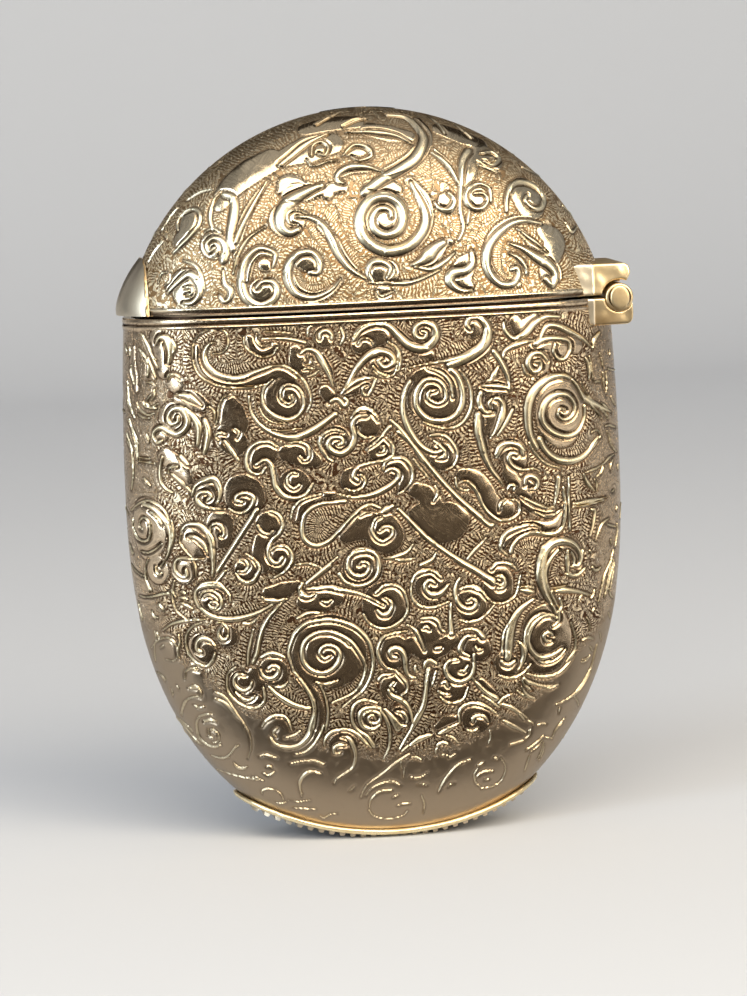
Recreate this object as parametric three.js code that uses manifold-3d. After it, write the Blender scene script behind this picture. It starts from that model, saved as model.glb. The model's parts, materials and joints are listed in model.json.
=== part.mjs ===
// An oval pocket match case (vesta case) with a domed lid hinged at its right side.
// Millimetres, +Z up, the front faces -Y, the hinge is at +X. The origin is the crest of the
// striker's middle rib, in the middle of the base.
import * as THREE from "three";
import { mergeVertices } from "three/addons/utils/BufferGeometryUtils.js";
import Module from "manifold-3d";

const wasm = await Module();
wasm.setup();

// Driving dimensions of the case body
const bodyWidth = 34.0;
const bodyDepth = 12.4;
const seamHeight = 35.8;
const widestHeight = 24.0;
const flatLow = 18.0;
const flatHigh = 28.0;
const mouthTaper = 0.8;
const mouthThinning = 0.4;
const baseWidth = 20.4;
const baseDepth = 7.8;
const baseSag = 2.55;
const wall = 0.55;

// Driving dimensions of the lid
const lidStep = 0.4;
const lidHeight = 13.26;
const seamGap = 0.2;

// Driving dimensions of the base and striker
const rimHeight = 0.42;
const rimProud = 0.3;
const rimWidth = 0.85;
const ribHeight = 0.32;
const ribPitch = 0.7;
const ribCrest = 0.24;
const ribFoot = 0.52;
const ribCount = 27;
const ribWear = 0.12;
const strikerThickness = 0.3;

// Driving dimensions of the mouth collar
const collarWall = 0.4;
const collarDepth = 3.5;
const collarRise = 1.5;

// Driving dimensions of the hinge
const hingeLength = 6.8;
const lidKnuckleLength = 2.24;
const knuckleRadius = 0.95;
const axisOutset = 0.15;
const pinRadius = 0.4;
const leafReach = 4.6;
const leafSweep = 1.2;
const leafTipAngle = 62;
const leafTipInset = 0.12;
const leafCorner = 0.5;
const upperLeafHeight = 2.1;
const lowerLeafHeight = 1.85;
const plugWidth = 1.3;
const plugHeight = 1.64;
const plugThickness = 0.22;
const plugCrown = 0.86;

// Driving dimensions of the thumb piece
const thumbHeight = 3.7;
const thumbTopReach = 0.137;
const thumbProud = 0.8;
const thumbEdge = 0.1;
const thumbFade = 0.75;
const thumbUndercut = 0.25;

// Clearances
const solderGap = 0.03;
const halfSeam = 0.01;
const slideGap = 0.06;
const bearingGap = 0.05;

// Roundness of the outlines
const sideRoundness = 3;
const outlineRoundness = 2.5;
const depthRoundness = 3;

// How finely the curves are divided. An odd count leaves one flat strip along the middle.
const halfSegments = 21;
const ovalSegments = 2 * halfSegments;
const bodyRows = 11;
const lidRows = 9;
const roundSegments = 24;
const thumbRows = 6;
const thumbColumns = 12;

// Sizes worked out from the driving dimensions
const mouthWidth = bodyWidth - mouthTaper;
const mouthDepth = bodyDepth - mouthThinning;
const lidWidth = mouthWidth - lidStep;
const baseRise = rimHeight + ribHeight - ribWear;
const baseEndHeight = baseRise + baseSag;
const lidFoot = seamHeight + seamGap;
const axisX = mouthWidth / 2 + axisOutset;
const axisZ = seamHeight;
const leafFaceX = axisX + knuckleRadius;
const leafLeftX = axisX - leafReach;
const leafSeat = knuckleRadius + solderGap;
const hingeEnd = hingeLength / 2;
const lidKnuckleEnd = lidKnuckleLength / 2;
const caseKnuckleStart = lidKnuckleEnd + slideGap;

const silver = (tone, roughness) =>
  new THREE.MeshStandardMaterial({ color: tone, roughness, metalness: 1 });
const chasedSilver = silver(0xcfc2a8, 0.24);
const plainSilver = silver(0xd6ccb8, 0.18);
const gilt = silver(0xd9b36a, 0.22);
const steelWire = silver(0xb9b6ae, 0.3);

// Half the outline's width at a height, seen from the front.
function halfWidthAt(z) {
  const most = bodyWidth / 2;
  const mouth = mouthWidth / 2;
  if (z >= widestHeight) {
    const share = (z - widestHeight) / (seamHeight - widestHeight);
    return most - (most - mouth) * share * share;
  }
  const loss = 1 - (baseWidth / bodyWidth) ** 2;
  const reach = (widestHeight - baseEndHeight) / loss ** (1 / outlineRoundness);
  return most * Math.sqrt(1 - ((widestHeight - z) / reach) ** outlineRoundness);
}

// Half the thickness on the centre line at a height, seen from the side.
function halfDepthAt(z) {
  const most = bodyDepth / 2;
  const mouth = mouthDepth / 2;
  if (z >= flatHigh) {
    const share = (z - flatHigh) / (seamHeight - flatHigh);
    return most - (most - mouth) * share * share;
  }
  if (z >= flatLow) return most;
  const loss = 1 - (baseDepth / bodyDepth) ** 2;
  const reach = (flatLow - baseRise) / loss ** (1 / depthRoundness);
  return most * Math.sqrt(1 - ((flatLow - z) / reach) ** depthRoundness);
}

// The oval cross-section: shares of the half width and half depth at an angle.
function ovalAt(angle) {
  const c = Math.cos(angle);
  return [Math.sign(c) * Math.abs(c) ** (2 / sideRoundness), Math.sin(angle)];
}

// A level of the body from its foot (0) to its mouth (1). The foot follows the curved base, and
// the levels flatten towards the mouth.
function bodyLevel(share) {
  const end = baseEndHeight + (seamHeight - baseEndHeight) * share;
  const sag = baseSag * (1 - share) ** 2;
  return { width: halfWidthAt(end), depth: halfDepthAt(end - sag), end, sag };
}

// A point of the body wall, moved in from the outside by an inset.
function bodyPoint(share, angle, inset) {
  const level = bodyLevel(share);
  const [x, y] = ovalAt(angle);
  return [(level.width - inset) * x, (level.depth - inset) * y, level.end - level.sag * (1 - x * x)];
}

// The lid's outline is an arc through both ends of its mouth and its top.
const lidRadius = ((lidWidth / 2) ** 2 + lidHeight ** 2) / (2 * lidHeight);
const lidDrop = lidRadius - lidHeight;

// A level of the lid, moved in by an inset, at a lean of the arc's radius from the horizontal.
function lidLevel(lean, inset) {
  const radius = lidRadius - inset;
  const taper = Math.cos(lean) / Math.cos(lidStart(inset));
  const rise = radius * Math.sin(lean) - lidDrop;
  return { width: radius * Math.cos(lean), depth: (mouthDepth / 2 - inset) * taper, rise };
}

function lidStart(inset) {
  return Math.asin(lidDrop / (lidRadius - inset));
}

function lidLeanAt(rise, inset) {
  return Math.asin((rise + lidDrop) / (lidRadius - inset));
}

// A point of the lid wall at a share of the way from its mouth (0) to its top (1).
function lidPoint(share, angle, inset) {
  const start = lidStart(inset);
  const level = lidLevel(start + (Math.PI / 2 - start) * share, inset);
  const spread = share === 1 ? 0 : 1;
  const [x, y] = ovalAt(angle);
  return [spread * level.width * x, spread * level.depth * y, lidFoot + level.rise];
}

// Makes a geometry from points and triangles, welds equal points and faces it outwards.
function closedGeometry(points, triangles) {
  const index = new Map();
  const kept = [];
  const positions = [];
  const number = points.map((p) => {
    const key = p.map((v) => Math.round(v * 1e4)).join();
    if (!index.has(key)) {
      index.set(key, positions.length / 3);
      positions.push(...p);
    }
    return index.get(key);
  });
  let volume = 0;
  for (const triangle of triangles) {
    const [a, b, c] = triangle.map((i) => number[i]);
    if (a === b || b === c || c === a) continue;
    kept.push([a, b, c]);
    const [p, q, r] = [a, b, c].map((i) => new THREE.Vector3().fromArray(positions, 3 * i));
    volume += p.dot(q.cross(r));
  }
  if (volume < 0) kept.forEach((t) => t.reverse());
  const geometry = new THREE.BufferGeometry();
  geometry.setAttribute("position", new THREE.Float32BufferAttribute(positions, 3));
  geometry.setIndex(kept.flat());
  return geometry;
}

// A curved slab between an outer and an inner surface, each a function of row and column.
// A closed slab joins its last column to its first.
function slab(rows, columns, outer, inner, closed = false) {
  const points = [];
  for (const surface of [outer, inner])
    for (let i = 0; i <= rows; i++) for (let j = 0; j <= columns; j++) points.push(surface(i, j));
  const at = (side, i, j) => (side * (rows + 1) + i) * (columns + 1) + (closed ? j % columns : j);
  const triangles = [];
  const quad = (a, b, c, d) => triangles.push([a, b, c], [a, c, d]);
  for (let i = 0; i < rows; i++)
    for (let j = 0; j < columns; j++) {
      quad(at(0, i, j), at(0, i, j + 1), at(0, i + 1, j + 1), at(0, i + 1, j));
      quad(at(1, i, j), at(1, i + 1, j), at(1, i + 1, j + 1), at(1, i, j + 1));
    }
  for (let j = 0; j < columns; j++) {
    quad(at(0, 0, j), at(1, 0, j), at(1, 0, j + 1), at(0, 0, j + 1));
    quad(at(0, rows, j), at(0, rows, j + 1), at(1, rows, j + 1), at(1, rows, j));
  }
  for (let i = 0; i < rows && !closed; i++) {
    quad(at(0, i, 0), at(0, i + 1, 0), at(1, i + 1, 0), at(1, i, 0));
    quad(at(0, i, columns), at(1, i, columns), at(1, i + 1, columns), at(0, i + 1, columns));
  }
  return closedGeometry(points, triangles);
}

// The filled space inside a stack of closed levels, for cutting other pieces with.
function filled(rows, columns, surface) {
  const centre = (i) => {
    const [, , z] = surface(i, columns / 4);
    return [0, 0, z];
  };
  return slab(rows, columns, surface, centre, true);
}

function toSolid(geometry) {
  const bare = geometry.clone();
  bare.deleteAttribute("normal");
  bare.deleteAttribute("uv");
  const merged = mergeVertices(bare, 1e-4);
  const vertProperties = merged.attributes.position.array;
  const triVerts = new Uint32Array(merged.index.array);
  return new wasm.Manifold(new wasm.Mesh({ numProp: 3, vertProperties, triVerts }));
}

function toGeometry(solid) {
  const { vertProperties, triVerts } = solid.getMesh();
  const geometry = new THREE.BufferGeometry();
  geometry.setAttribute("position", new THREE.Float32BufferAttribute(vertProperties, 3));
  geometry.setIndex([...triVerts]);
  return geometry;
}

// A flat outline in X and Z, pushed out along Y between two places.
function prism(outline, yLow, yHigh) {
  const options = { depth: yHigh - yLow, bevelEnabled: false };
  const geometry = new THREE.ExtrudeGeometry(new THREE.Shape(outline), options);
  geometry.rotateX(Math.PI / 2);
  geometry.translate(0, yHigh, 0);
  return toSolid(geometry);
}

// Points of an outline along an arc about a centre, both ends included.
function arc(x, z, radius, from, to, steps) {
  const points = [];
  for (let k = 0; k <= steps; k++) {
    const angle = from + ((to - from) * k) / steps;
    points.push(new THREE.Vector2(x + radius * Math.cos(angle), z + radius * Math.sin(angle)));
  }
  return points;
}

function block(low, high) {
  const size = high.map((v, k) => v - low[k]);
  const geometry = new THREE.BoxGeometry(...size);
  geometry.translate(...low.map((v, k) => v + size[k] / 2));
  return toSolid(geometry);
}

// A round bar along Y on the hinge's axis.
function axisBar(radius, yLow, yHigh) {
  const geometry = new THREE.CylinderGeometry(radius, radius, yHigh - yLow, roundSegments);
  geometry.translate(axisX, (yLow + yHigh) / 2, axisZ);
  return toSolid(geometry);
}

const group = new THREE.Group();

function add(name, geometry, material) {
  geometry.computeVertexNormals();
  const mesh = new THREE.Mesh(geometry, material);
  mesh.name = name;
  group.add(mesh);
}

// The room that the hinge leaves take out of both walls.
const notch = block(
  [leafLeftX - solderGap, -hingeEnd - solderGap, axisZ - lowerLeafHeight - solderGap],
  [leafFaceX + wall, hingeEnd + solderGap, lidFoot + upperLeafHeight + solderGap],
);

// One half of a wall: side is -1 for the front and 1 for the back.
function halfShell(pointAt, rows, side) {
  const surface = (inset) => (i, j) => {
    const [x, y, z] = pointAt(i / rows, (Math.PI * j) / halfSegments, inset);
    return [x, side * Math.max(y, halfSeam), z];
  };
  const shell = slab(rows, halfSegments, surface(0), surface(wall));
  return toGeometry(toSolid(shell).subtract(notch));
}

function addShells() {
  for (const [side, place] of [[-1, "front"], [1, "back"]]) {
    add(`body_${place}_shell`, halfShell(bodyPoint, bodyRows, side), chasedSilver);
    add(`lid_${place}_shell`, halfShell(lidPoint, lidRows, side), chasedSilver);
  }
}

// The gilt collar inside the mouth, which the lid closes over. It is open beside the hinge.
function addCollar() {
  const heights = [seamHeight - collarDepth, seamHeight, lidFoot, seamHeight + collarRise];
  const levelAt = (z) => {
    const rise = Math.max(0, z - lidFoot);
    const lid = lidLevel(lidLeanAt(rise, wall), wall);
    return {
      width: Math.min(halfWidthAt(z) - wall, lid.width) - slideGap,
      depth: Math.min(halfDepthAt(z) - wall, lid.depth) - slideGap,
    };
  };
  const start = Math.asin((hingeEnd + collarWall) / levelAt(seamHeight).depth);
  const surface = (inset) => (i, j) => {
    const level = levelAt(heights[i]);
    const [x, y] = ovalAt(start + ((2 * Math.PI - 2 * start) * j) / ovalSegments);
    return [(level.width - inset) * x, (level.depth - inset) * y, heights[i]];
  };
  const collar = slab(heights.length - 1, ovalSegments, surface(0), surface(collarWall));
  add("mouth_collar", collar, gilt);
}

// Height of the body's curved foot at a distance from the middle.
const footAt = (x) => baseRise + baseSag * (x / (baseWidth / 2)) ** 2;

// The smooth rim that frames the base, and stands proud of the wall all round.
function addRim() {
  const ring = (proud, drop) => (j) => {
    const [x, y] = ovalAt((2 * Math.PI * j) / ovalSegments);
    const px = (baseWidth / 2 + proud) * x;
    return [px, (baseDepth / 2 + proud) * y, footAt(px) - drop];
  };
  const inner = rimProud - rimWidth;
  const chamfer = rimHeight / 4;
  const section = [
    ring(rimProud - chamfer, solderGap),
    ring(rimProud, chamfer),
    ring(rimProud, rimHeight - chamfer),
    ring(rimProud - chamfer, rimHeight),
  ];
  const outer = (i, j) => section[i](j);
  const inside = (i, j) => ring(inner, i < 2 ? solderGap : rimHeight)(j);
  add("base_rim", slab(section.length - 1, ovalSegments, outer, inside, true), plainSilver);
}

// The striker: a curved plate inside the rim, with ribs that run front to back. The middle ribs
// are worn to one level, which the case stands on.
function addStriker() {
  const inset = rimProud - rimWidth - solderGap;
  const last = (ribCount - 1) / 2;
  const plateEnd = baseWidth / 2;
  const foot = (x) => new THREE.Vector2(x, footAt(x) - rimHeight);
  const top = (x) => new THREE.Vector2(x, footAt(x) - rimHeight + strikerThickness);
  const outline = [foot(-plateEnd)];
  const upper = [];
  for (let k = -last; k <= last; k++) {
    const x = k * ribPitch;
    const slope = Math.atan((2 * baseSag * x) / (baseWidth / 2) ** 2);
    const along = new THREE.Vector2(Math.cos(slope), Math.sin(slope));
    const down = new THREE.Vector2(Math.sin(slope), -Math.cos(slope));
    const corner = (s, t) => foot(x).addScaledVector(along, s).addScaledVector(down, t);
    outline.push(corner(-ribFoot / 2, 0), corner(-ribCrest / 2, ribHeight));
    outline.push(corner(ribCrest / 2, ribHeight), corner(ribFoot / 2, 0));
    upper.unshift(top(x));
  }
  outline.push(foot(plateEnd), top(plateEnd), ...upper, top(-plateEnd));
  const footprint = filled(1, ovalSegments, (i, j) => {
    const [x, y] = ovalAt((2 * Math.PI * j) / ovalSegments);
    return [(baseWidth / 2 + inset) * x, (baseDepth / 2 + inset) * y, i * 2 * baseEndHeight];
  });
  const plate = prism(outline, -baseDepth, baseDepth).intersect(toSolid(footprint));
  add("striker_plate", toGeometry(plate), plainSilver);
}

// Both leaves lie in the walls, seated on their own knuckles, and are cut back for the knuckles
// of the other leaf. Inside they are flush with the walls.
function addLeaf(name, outline, wallHollow, sweeps) {
  let leaf = prism(outline, -hingeEnd, hingeEnd).subtract(wallHollow);
  for (const [yLow, yHigh] of sweeps) leaf = leaf.subtract(axisBar(leafSweep, yLow, yHigh));
  add(name, toGeometry(leaf), plainSilver);
}

function addLowerLeaf() {
  const low = axisZ - lowerLeafHeight;
  const top = axisZ - solderGap;
  const faceAngle = -Math.acos(knuckleRadius / leafSeat);
  const topAngle = Math.asin(solderGap / leafSeat) - Math.PI;
  const outline = [
    new THREE.Vector2(leafLeftX, low),
    ...arc(leafFaceX - leafCorner, low + leafCorner, leafCorner, -Math.PI / 2, 0, 4),
    ...arc(axisX, axisZ, leafSeat, faceAngle, topAngle, 10),
    new THREE.Vector2(leafLeftX, top),
  ];
  const hollow = filled(bodyRows, ovalSegments, (i, j) =>
    bodyPoint(i / bodyRows, (2 * Math.PI * j) / ovalSegments, wall),
  );
  addLeaf("lower_hinge_leaf", outline, toSolid(hollow), [[-caseKnuckleStart, caseKnuckleStart]]);
}

function addUpperLeaf() {
  const top = lidFoot + upperLeafHeight;
  const face = leafFaceX - leafTipInset;
  const tip = THREE.MathUtils.degToRad(leafTipAngle);
  const footAngle = Math.PI - Math.asin(seamGap / leafSeat);
  const outline = [
    new THREE.Vector2(leafLeftX, lidFoot),
    ...arc(axisX, axisZ, leafSeat, footAngle, tip, 10),
    new THREE.Vector2(face, axisZ + (face - axisX) * Math.tan(tip)),
    ...arc(face - leafCorner, top - leafCorner, leafCorner, 0, Math.PI / 2, 4),
    new THREE.Vector2(leafLeftX, top),
  ];
  const hollow = filled(lidRows, ovalSegments, (i, j) =>
    lidPoint(i / lidRows, (2 * Math.PI * j) / ovalSegments, wall),
  );
  const past = hingeEnd + wall;
  const sweeps = [[-past, -lidKnuckleEnd], [lidKnuckleEnd, past]];
  addLeaf("upper_hinge_leaf", outline, toSolid(hollow), sweeps);
}

// Two knuckles of the case, one of the lid between them, and the pin through all three.
function addKnuckles() {
  const spans = {
    front_knuckle: [-hingeEnd, -caseKnuckleStart],
    lid_knuckle: [-lidKnuckleEnd, lidKnuckleEnd],
    back_knuckle: [caseKnuckleStart, hingeEnd],
  };
  const bore = axisBar(pinRadius + bearingGap, -hingeLength, hingeLength);
  for (const [name, [yLow, yHigh]] of Object.entries(spans)) {
    add(name, toGeometry(axisBar(knuckleRadius, yLow, yHigh).subtract(bore)), plainSilver);
  }
  add("hinge_pin", toGeometry(axisBar(pinRadius, -hingeEnd, hingeEnd)), steelWire);
}

// The oval caps that hide both ends of the pin.
function addPlugs() {
  for (const [name, side] of [["pin_plug_front", -1], ["pin_plug_back", 1]]) {
    const geometry = new THREE.CylinderGeometry(plugCrown, 1, plugThickness, roundSegments);
    geometry.scale(plugWidth / 2, side, plugHeight / 2);
    if (side < 0) geometry.index.array.reverse();
    geometry.translate(axisX, side * (hingeEnd + solderGap + plugThickness / 2), axisZ);
    add(name, toGeometry(toSolid(geometry)), plainSilver);
  }
}

// The smooth lip at the left of the lid, cut off by an upright plane on the front and back.
// The plane stands a little inside the lid's outline at the height of the lip's top.
function addThumbPiece() {
  const first = lidStart(0);
  const last = lidLeanAt(thumbHeight, 0);
  const spanShare = (last - first) / (Math.PI / 2 - first);
  const cutX = lidLevel(last, 0).width - thumbTopReach;
  const surface = (isOuter) => (i, j) => {
    const share = i / thumbRows;
    const across = (2 * j) / thumbColumns - 1;
    const level = lidLevel(first + (Math.PI / 2 - first) * spanShare * share, 0);
    const spread = Math.acos((cutX / level.width) ** (sideRoundness / 2));
    const swell = thumbProud * (1 - thumbFade * share ** 2) * (1 - thumbUndercut * (1 - share) ** 8);
    const proud = thumbEdge + (swell - thumbEdge) * (1 - across ** 2);
    return lidPoint(spanShare * share, Math.PI + spread * across, isOuter ? -proud : -solderGap);
  };
  const lip = slab(thumbRows, thumbColumns, surface(true), surface(false));
  add("thumb_piece", lip, plainSilver);
}

addShells();
addCollar();
addRim();
addStriker();
addLowerLeaf();
addUpperLeaf();
addKnuckles();
addPlugs();
addThumbPiece();

export default group;
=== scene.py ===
# An oval silver match case with a domed lid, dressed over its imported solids.
# Shapes are worked out in millimetres in the part's own frame, and become metres when a mesh is made.
import json
import math

import bpy
import numpy as np
from mathutils import Matrix, Vector


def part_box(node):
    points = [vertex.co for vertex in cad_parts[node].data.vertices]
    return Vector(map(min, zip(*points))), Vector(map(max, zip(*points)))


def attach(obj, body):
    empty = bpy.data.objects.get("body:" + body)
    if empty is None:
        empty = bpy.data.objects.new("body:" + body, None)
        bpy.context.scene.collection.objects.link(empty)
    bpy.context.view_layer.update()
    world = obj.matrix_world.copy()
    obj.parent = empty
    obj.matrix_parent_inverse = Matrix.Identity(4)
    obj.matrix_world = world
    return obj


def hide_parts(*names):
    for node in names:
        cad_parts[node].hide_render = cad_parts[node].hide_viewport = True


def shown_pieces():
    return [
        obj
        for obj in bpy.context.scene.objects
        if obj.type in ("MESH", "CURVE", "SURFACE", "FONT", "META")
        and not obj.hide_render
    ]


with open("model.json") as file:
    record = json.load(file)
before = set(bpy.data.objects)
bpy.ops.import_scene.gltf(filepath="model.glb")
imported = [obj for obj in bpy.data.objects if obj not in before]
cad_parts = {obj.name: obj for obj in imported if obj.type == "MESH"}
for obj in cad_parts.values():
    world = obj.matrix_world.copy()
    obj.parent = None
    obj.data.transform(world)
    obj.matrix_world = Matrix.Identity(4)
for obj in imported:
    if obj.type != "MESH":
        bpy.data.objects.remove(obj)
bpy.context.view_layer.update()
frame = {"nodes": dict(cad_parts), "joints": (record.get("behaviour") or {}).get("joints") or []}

MM = 0.001

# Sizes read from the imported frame
body_low, body_high = (np.array(corner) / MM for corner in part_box("body_front_shell"))
lid_low, lid_high = (np.array(corner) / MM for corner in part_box("lid_front_shell"))
collar_low, collar_high = (np.array(corner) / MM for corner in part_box("mouth_collar"))
leaf_low, leaf_high = (np.array(corner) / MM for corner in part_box("lower_hinge_leaf"))
_, upper_high = (np.array(corner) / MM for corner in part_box("upper_hinge_leaf"))
hinge_x, _, hinge_z = (value / MM for value in frame["joints"][0]["pos_m"])

# Sizes of the walls, as in the part's source
BODY_WIDTH = 2 * body_high[0]
BODY_DEPTH = -2 * body_low[1]
SEAM_HEIGHT = body_high[2]
WIDEST_HEIGHT = 24.0
FLAT_LOW = 18.0
FLAT_HIGH = 28.0
MOUTH_WIDTH = BODY_WIDTH - 0.8
MOUTH_DEPTH = BODY_DEPTH - 0.4
BASE_WIDTH = 20.4
BASE_DEPTH = 7.8
BASE_SAG = 2.55
BASE_RISE = 0.62
WALL = 0.55
LID_FOOT = lid_low[2]
LID_WIDTH = MOUTH_WIDTH - 0.4
LID_HEIGHT = lid_high[2] - LID_FOOT
SIDE_ROUNDNESS = 3
OUTLINE_ROUNDNESS = 2.5
DEPTH_ROUNDNESS = 3
BASE_END = BASE_RISE + BASE_SAG
LID_RADIUS = ((LID_WIDTH / 2) ** 2 + LID_HEIGHT**2) / (2 * LID_HEIGHT)
LID_DROP = LID_RADIUS - LID_HEIGHT
SOLDER_GAP = 0.03
HALF_SEAM = 0.01
NOTCH_HALF = leaf_high[1] + SOLDER_GAP
NOTCH_FOOT = leaf_low[2] - SOLDER_GAP
NOTCH_TOP = upper_high[2] + SOLDER_GAP

# The photo's view: turn and rise of the camera in degrees, its roll, distance and focal length
VIEW_TURN = math.radians(-7.6)
VIEW_RISE = math.radians(6.0)
VIEW_ROLL = math.radians(-2.25)
VIEW_DISTANCE = 320.0
FOCAL_PIXELS = 4707.35
IMAGE_HEIGHT = 996
VIEW_CENTRE = np.array([0.0, 0.0, 24.65])
VIEW_CENTRE_ROW = 469.5
DRAWING_DEPTH = 313.8

# How finely the chased walls are divided, in millimetres, and how much coarser they are inside
FRONT_STEP = 0.065
BACK_STEP = 0.11
INSIDE_FACTOR = 8

# The chased relief
STROKE_FULLNESS = 1.05
LOBE_FULLNESS = 1.16
RIDGE_BASE_HEIGHT = 0.045
RIDGE_HEIGHT_SHARE = 0.22
CHANNEL_DEPTH = 0.05
CHANNEL_WIDTH = 0.1
LOBE_RISE = 0.055
LOBE_WAVES = 0.008
GROUND_DROP = 0.05
PLAIN_FOOT_LOW = 5.4
PLAIN_FOOT_HIGH = 6.9
PLAIN_FOOT_CURVE = 0.035
PLAIN_FOOT_UNEVEN = 0.3
FOOT_STROKE_THINNING = 0.3
FOOT_TARNISH_AND_SHADE = 0.3
PLAIN_SIDES = (14.4, 15.6)

# Lines along both mouths: the place of each above the mouth's edge, its half height and its rise
BODY_EDGING = ((-0.18, 0.17, 0.05), (-0.41, 0.07, -0.05), (-0.57, 0.09, 0.04))
LID_EDGING = ((0.16, 0.16, -0.07), (0.42, 0.08, 0.05))
BODY_ORNAMENT_START = 0.68
LID_ORNAMENT_START = 0.52
STROKE_STEP = 0.09
TILE = 24
REACH = 1.4
WAY_BLEND = 0.04
WAY_REACH = 0.5

view_forward = np.array([
    -math.sin(VIEW_TURN) * math.cos(VIEW_RISE),
    math.cos(VIEW_TURN) * math.cos(VIEW_RISE),
    -math.sin(VIEW_RISE),
])
level_right = np.array([math.cos(VIEW_TURN), math.sin(VIEW_TURN), 0.0])
level_up = np.cross(level_right, view_forward)
view_right = level_right * math.cos(VIEW_ROLL) + level_up * math.sin(VIEW_ROLL)
view_up = level_up * math.cos(VIEW_ROLL) - level_right * math.sin(VIEW_ROLL)
view_point = VIEW_CENTRE - view_forward * VIEW_DISTANCE

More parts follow.
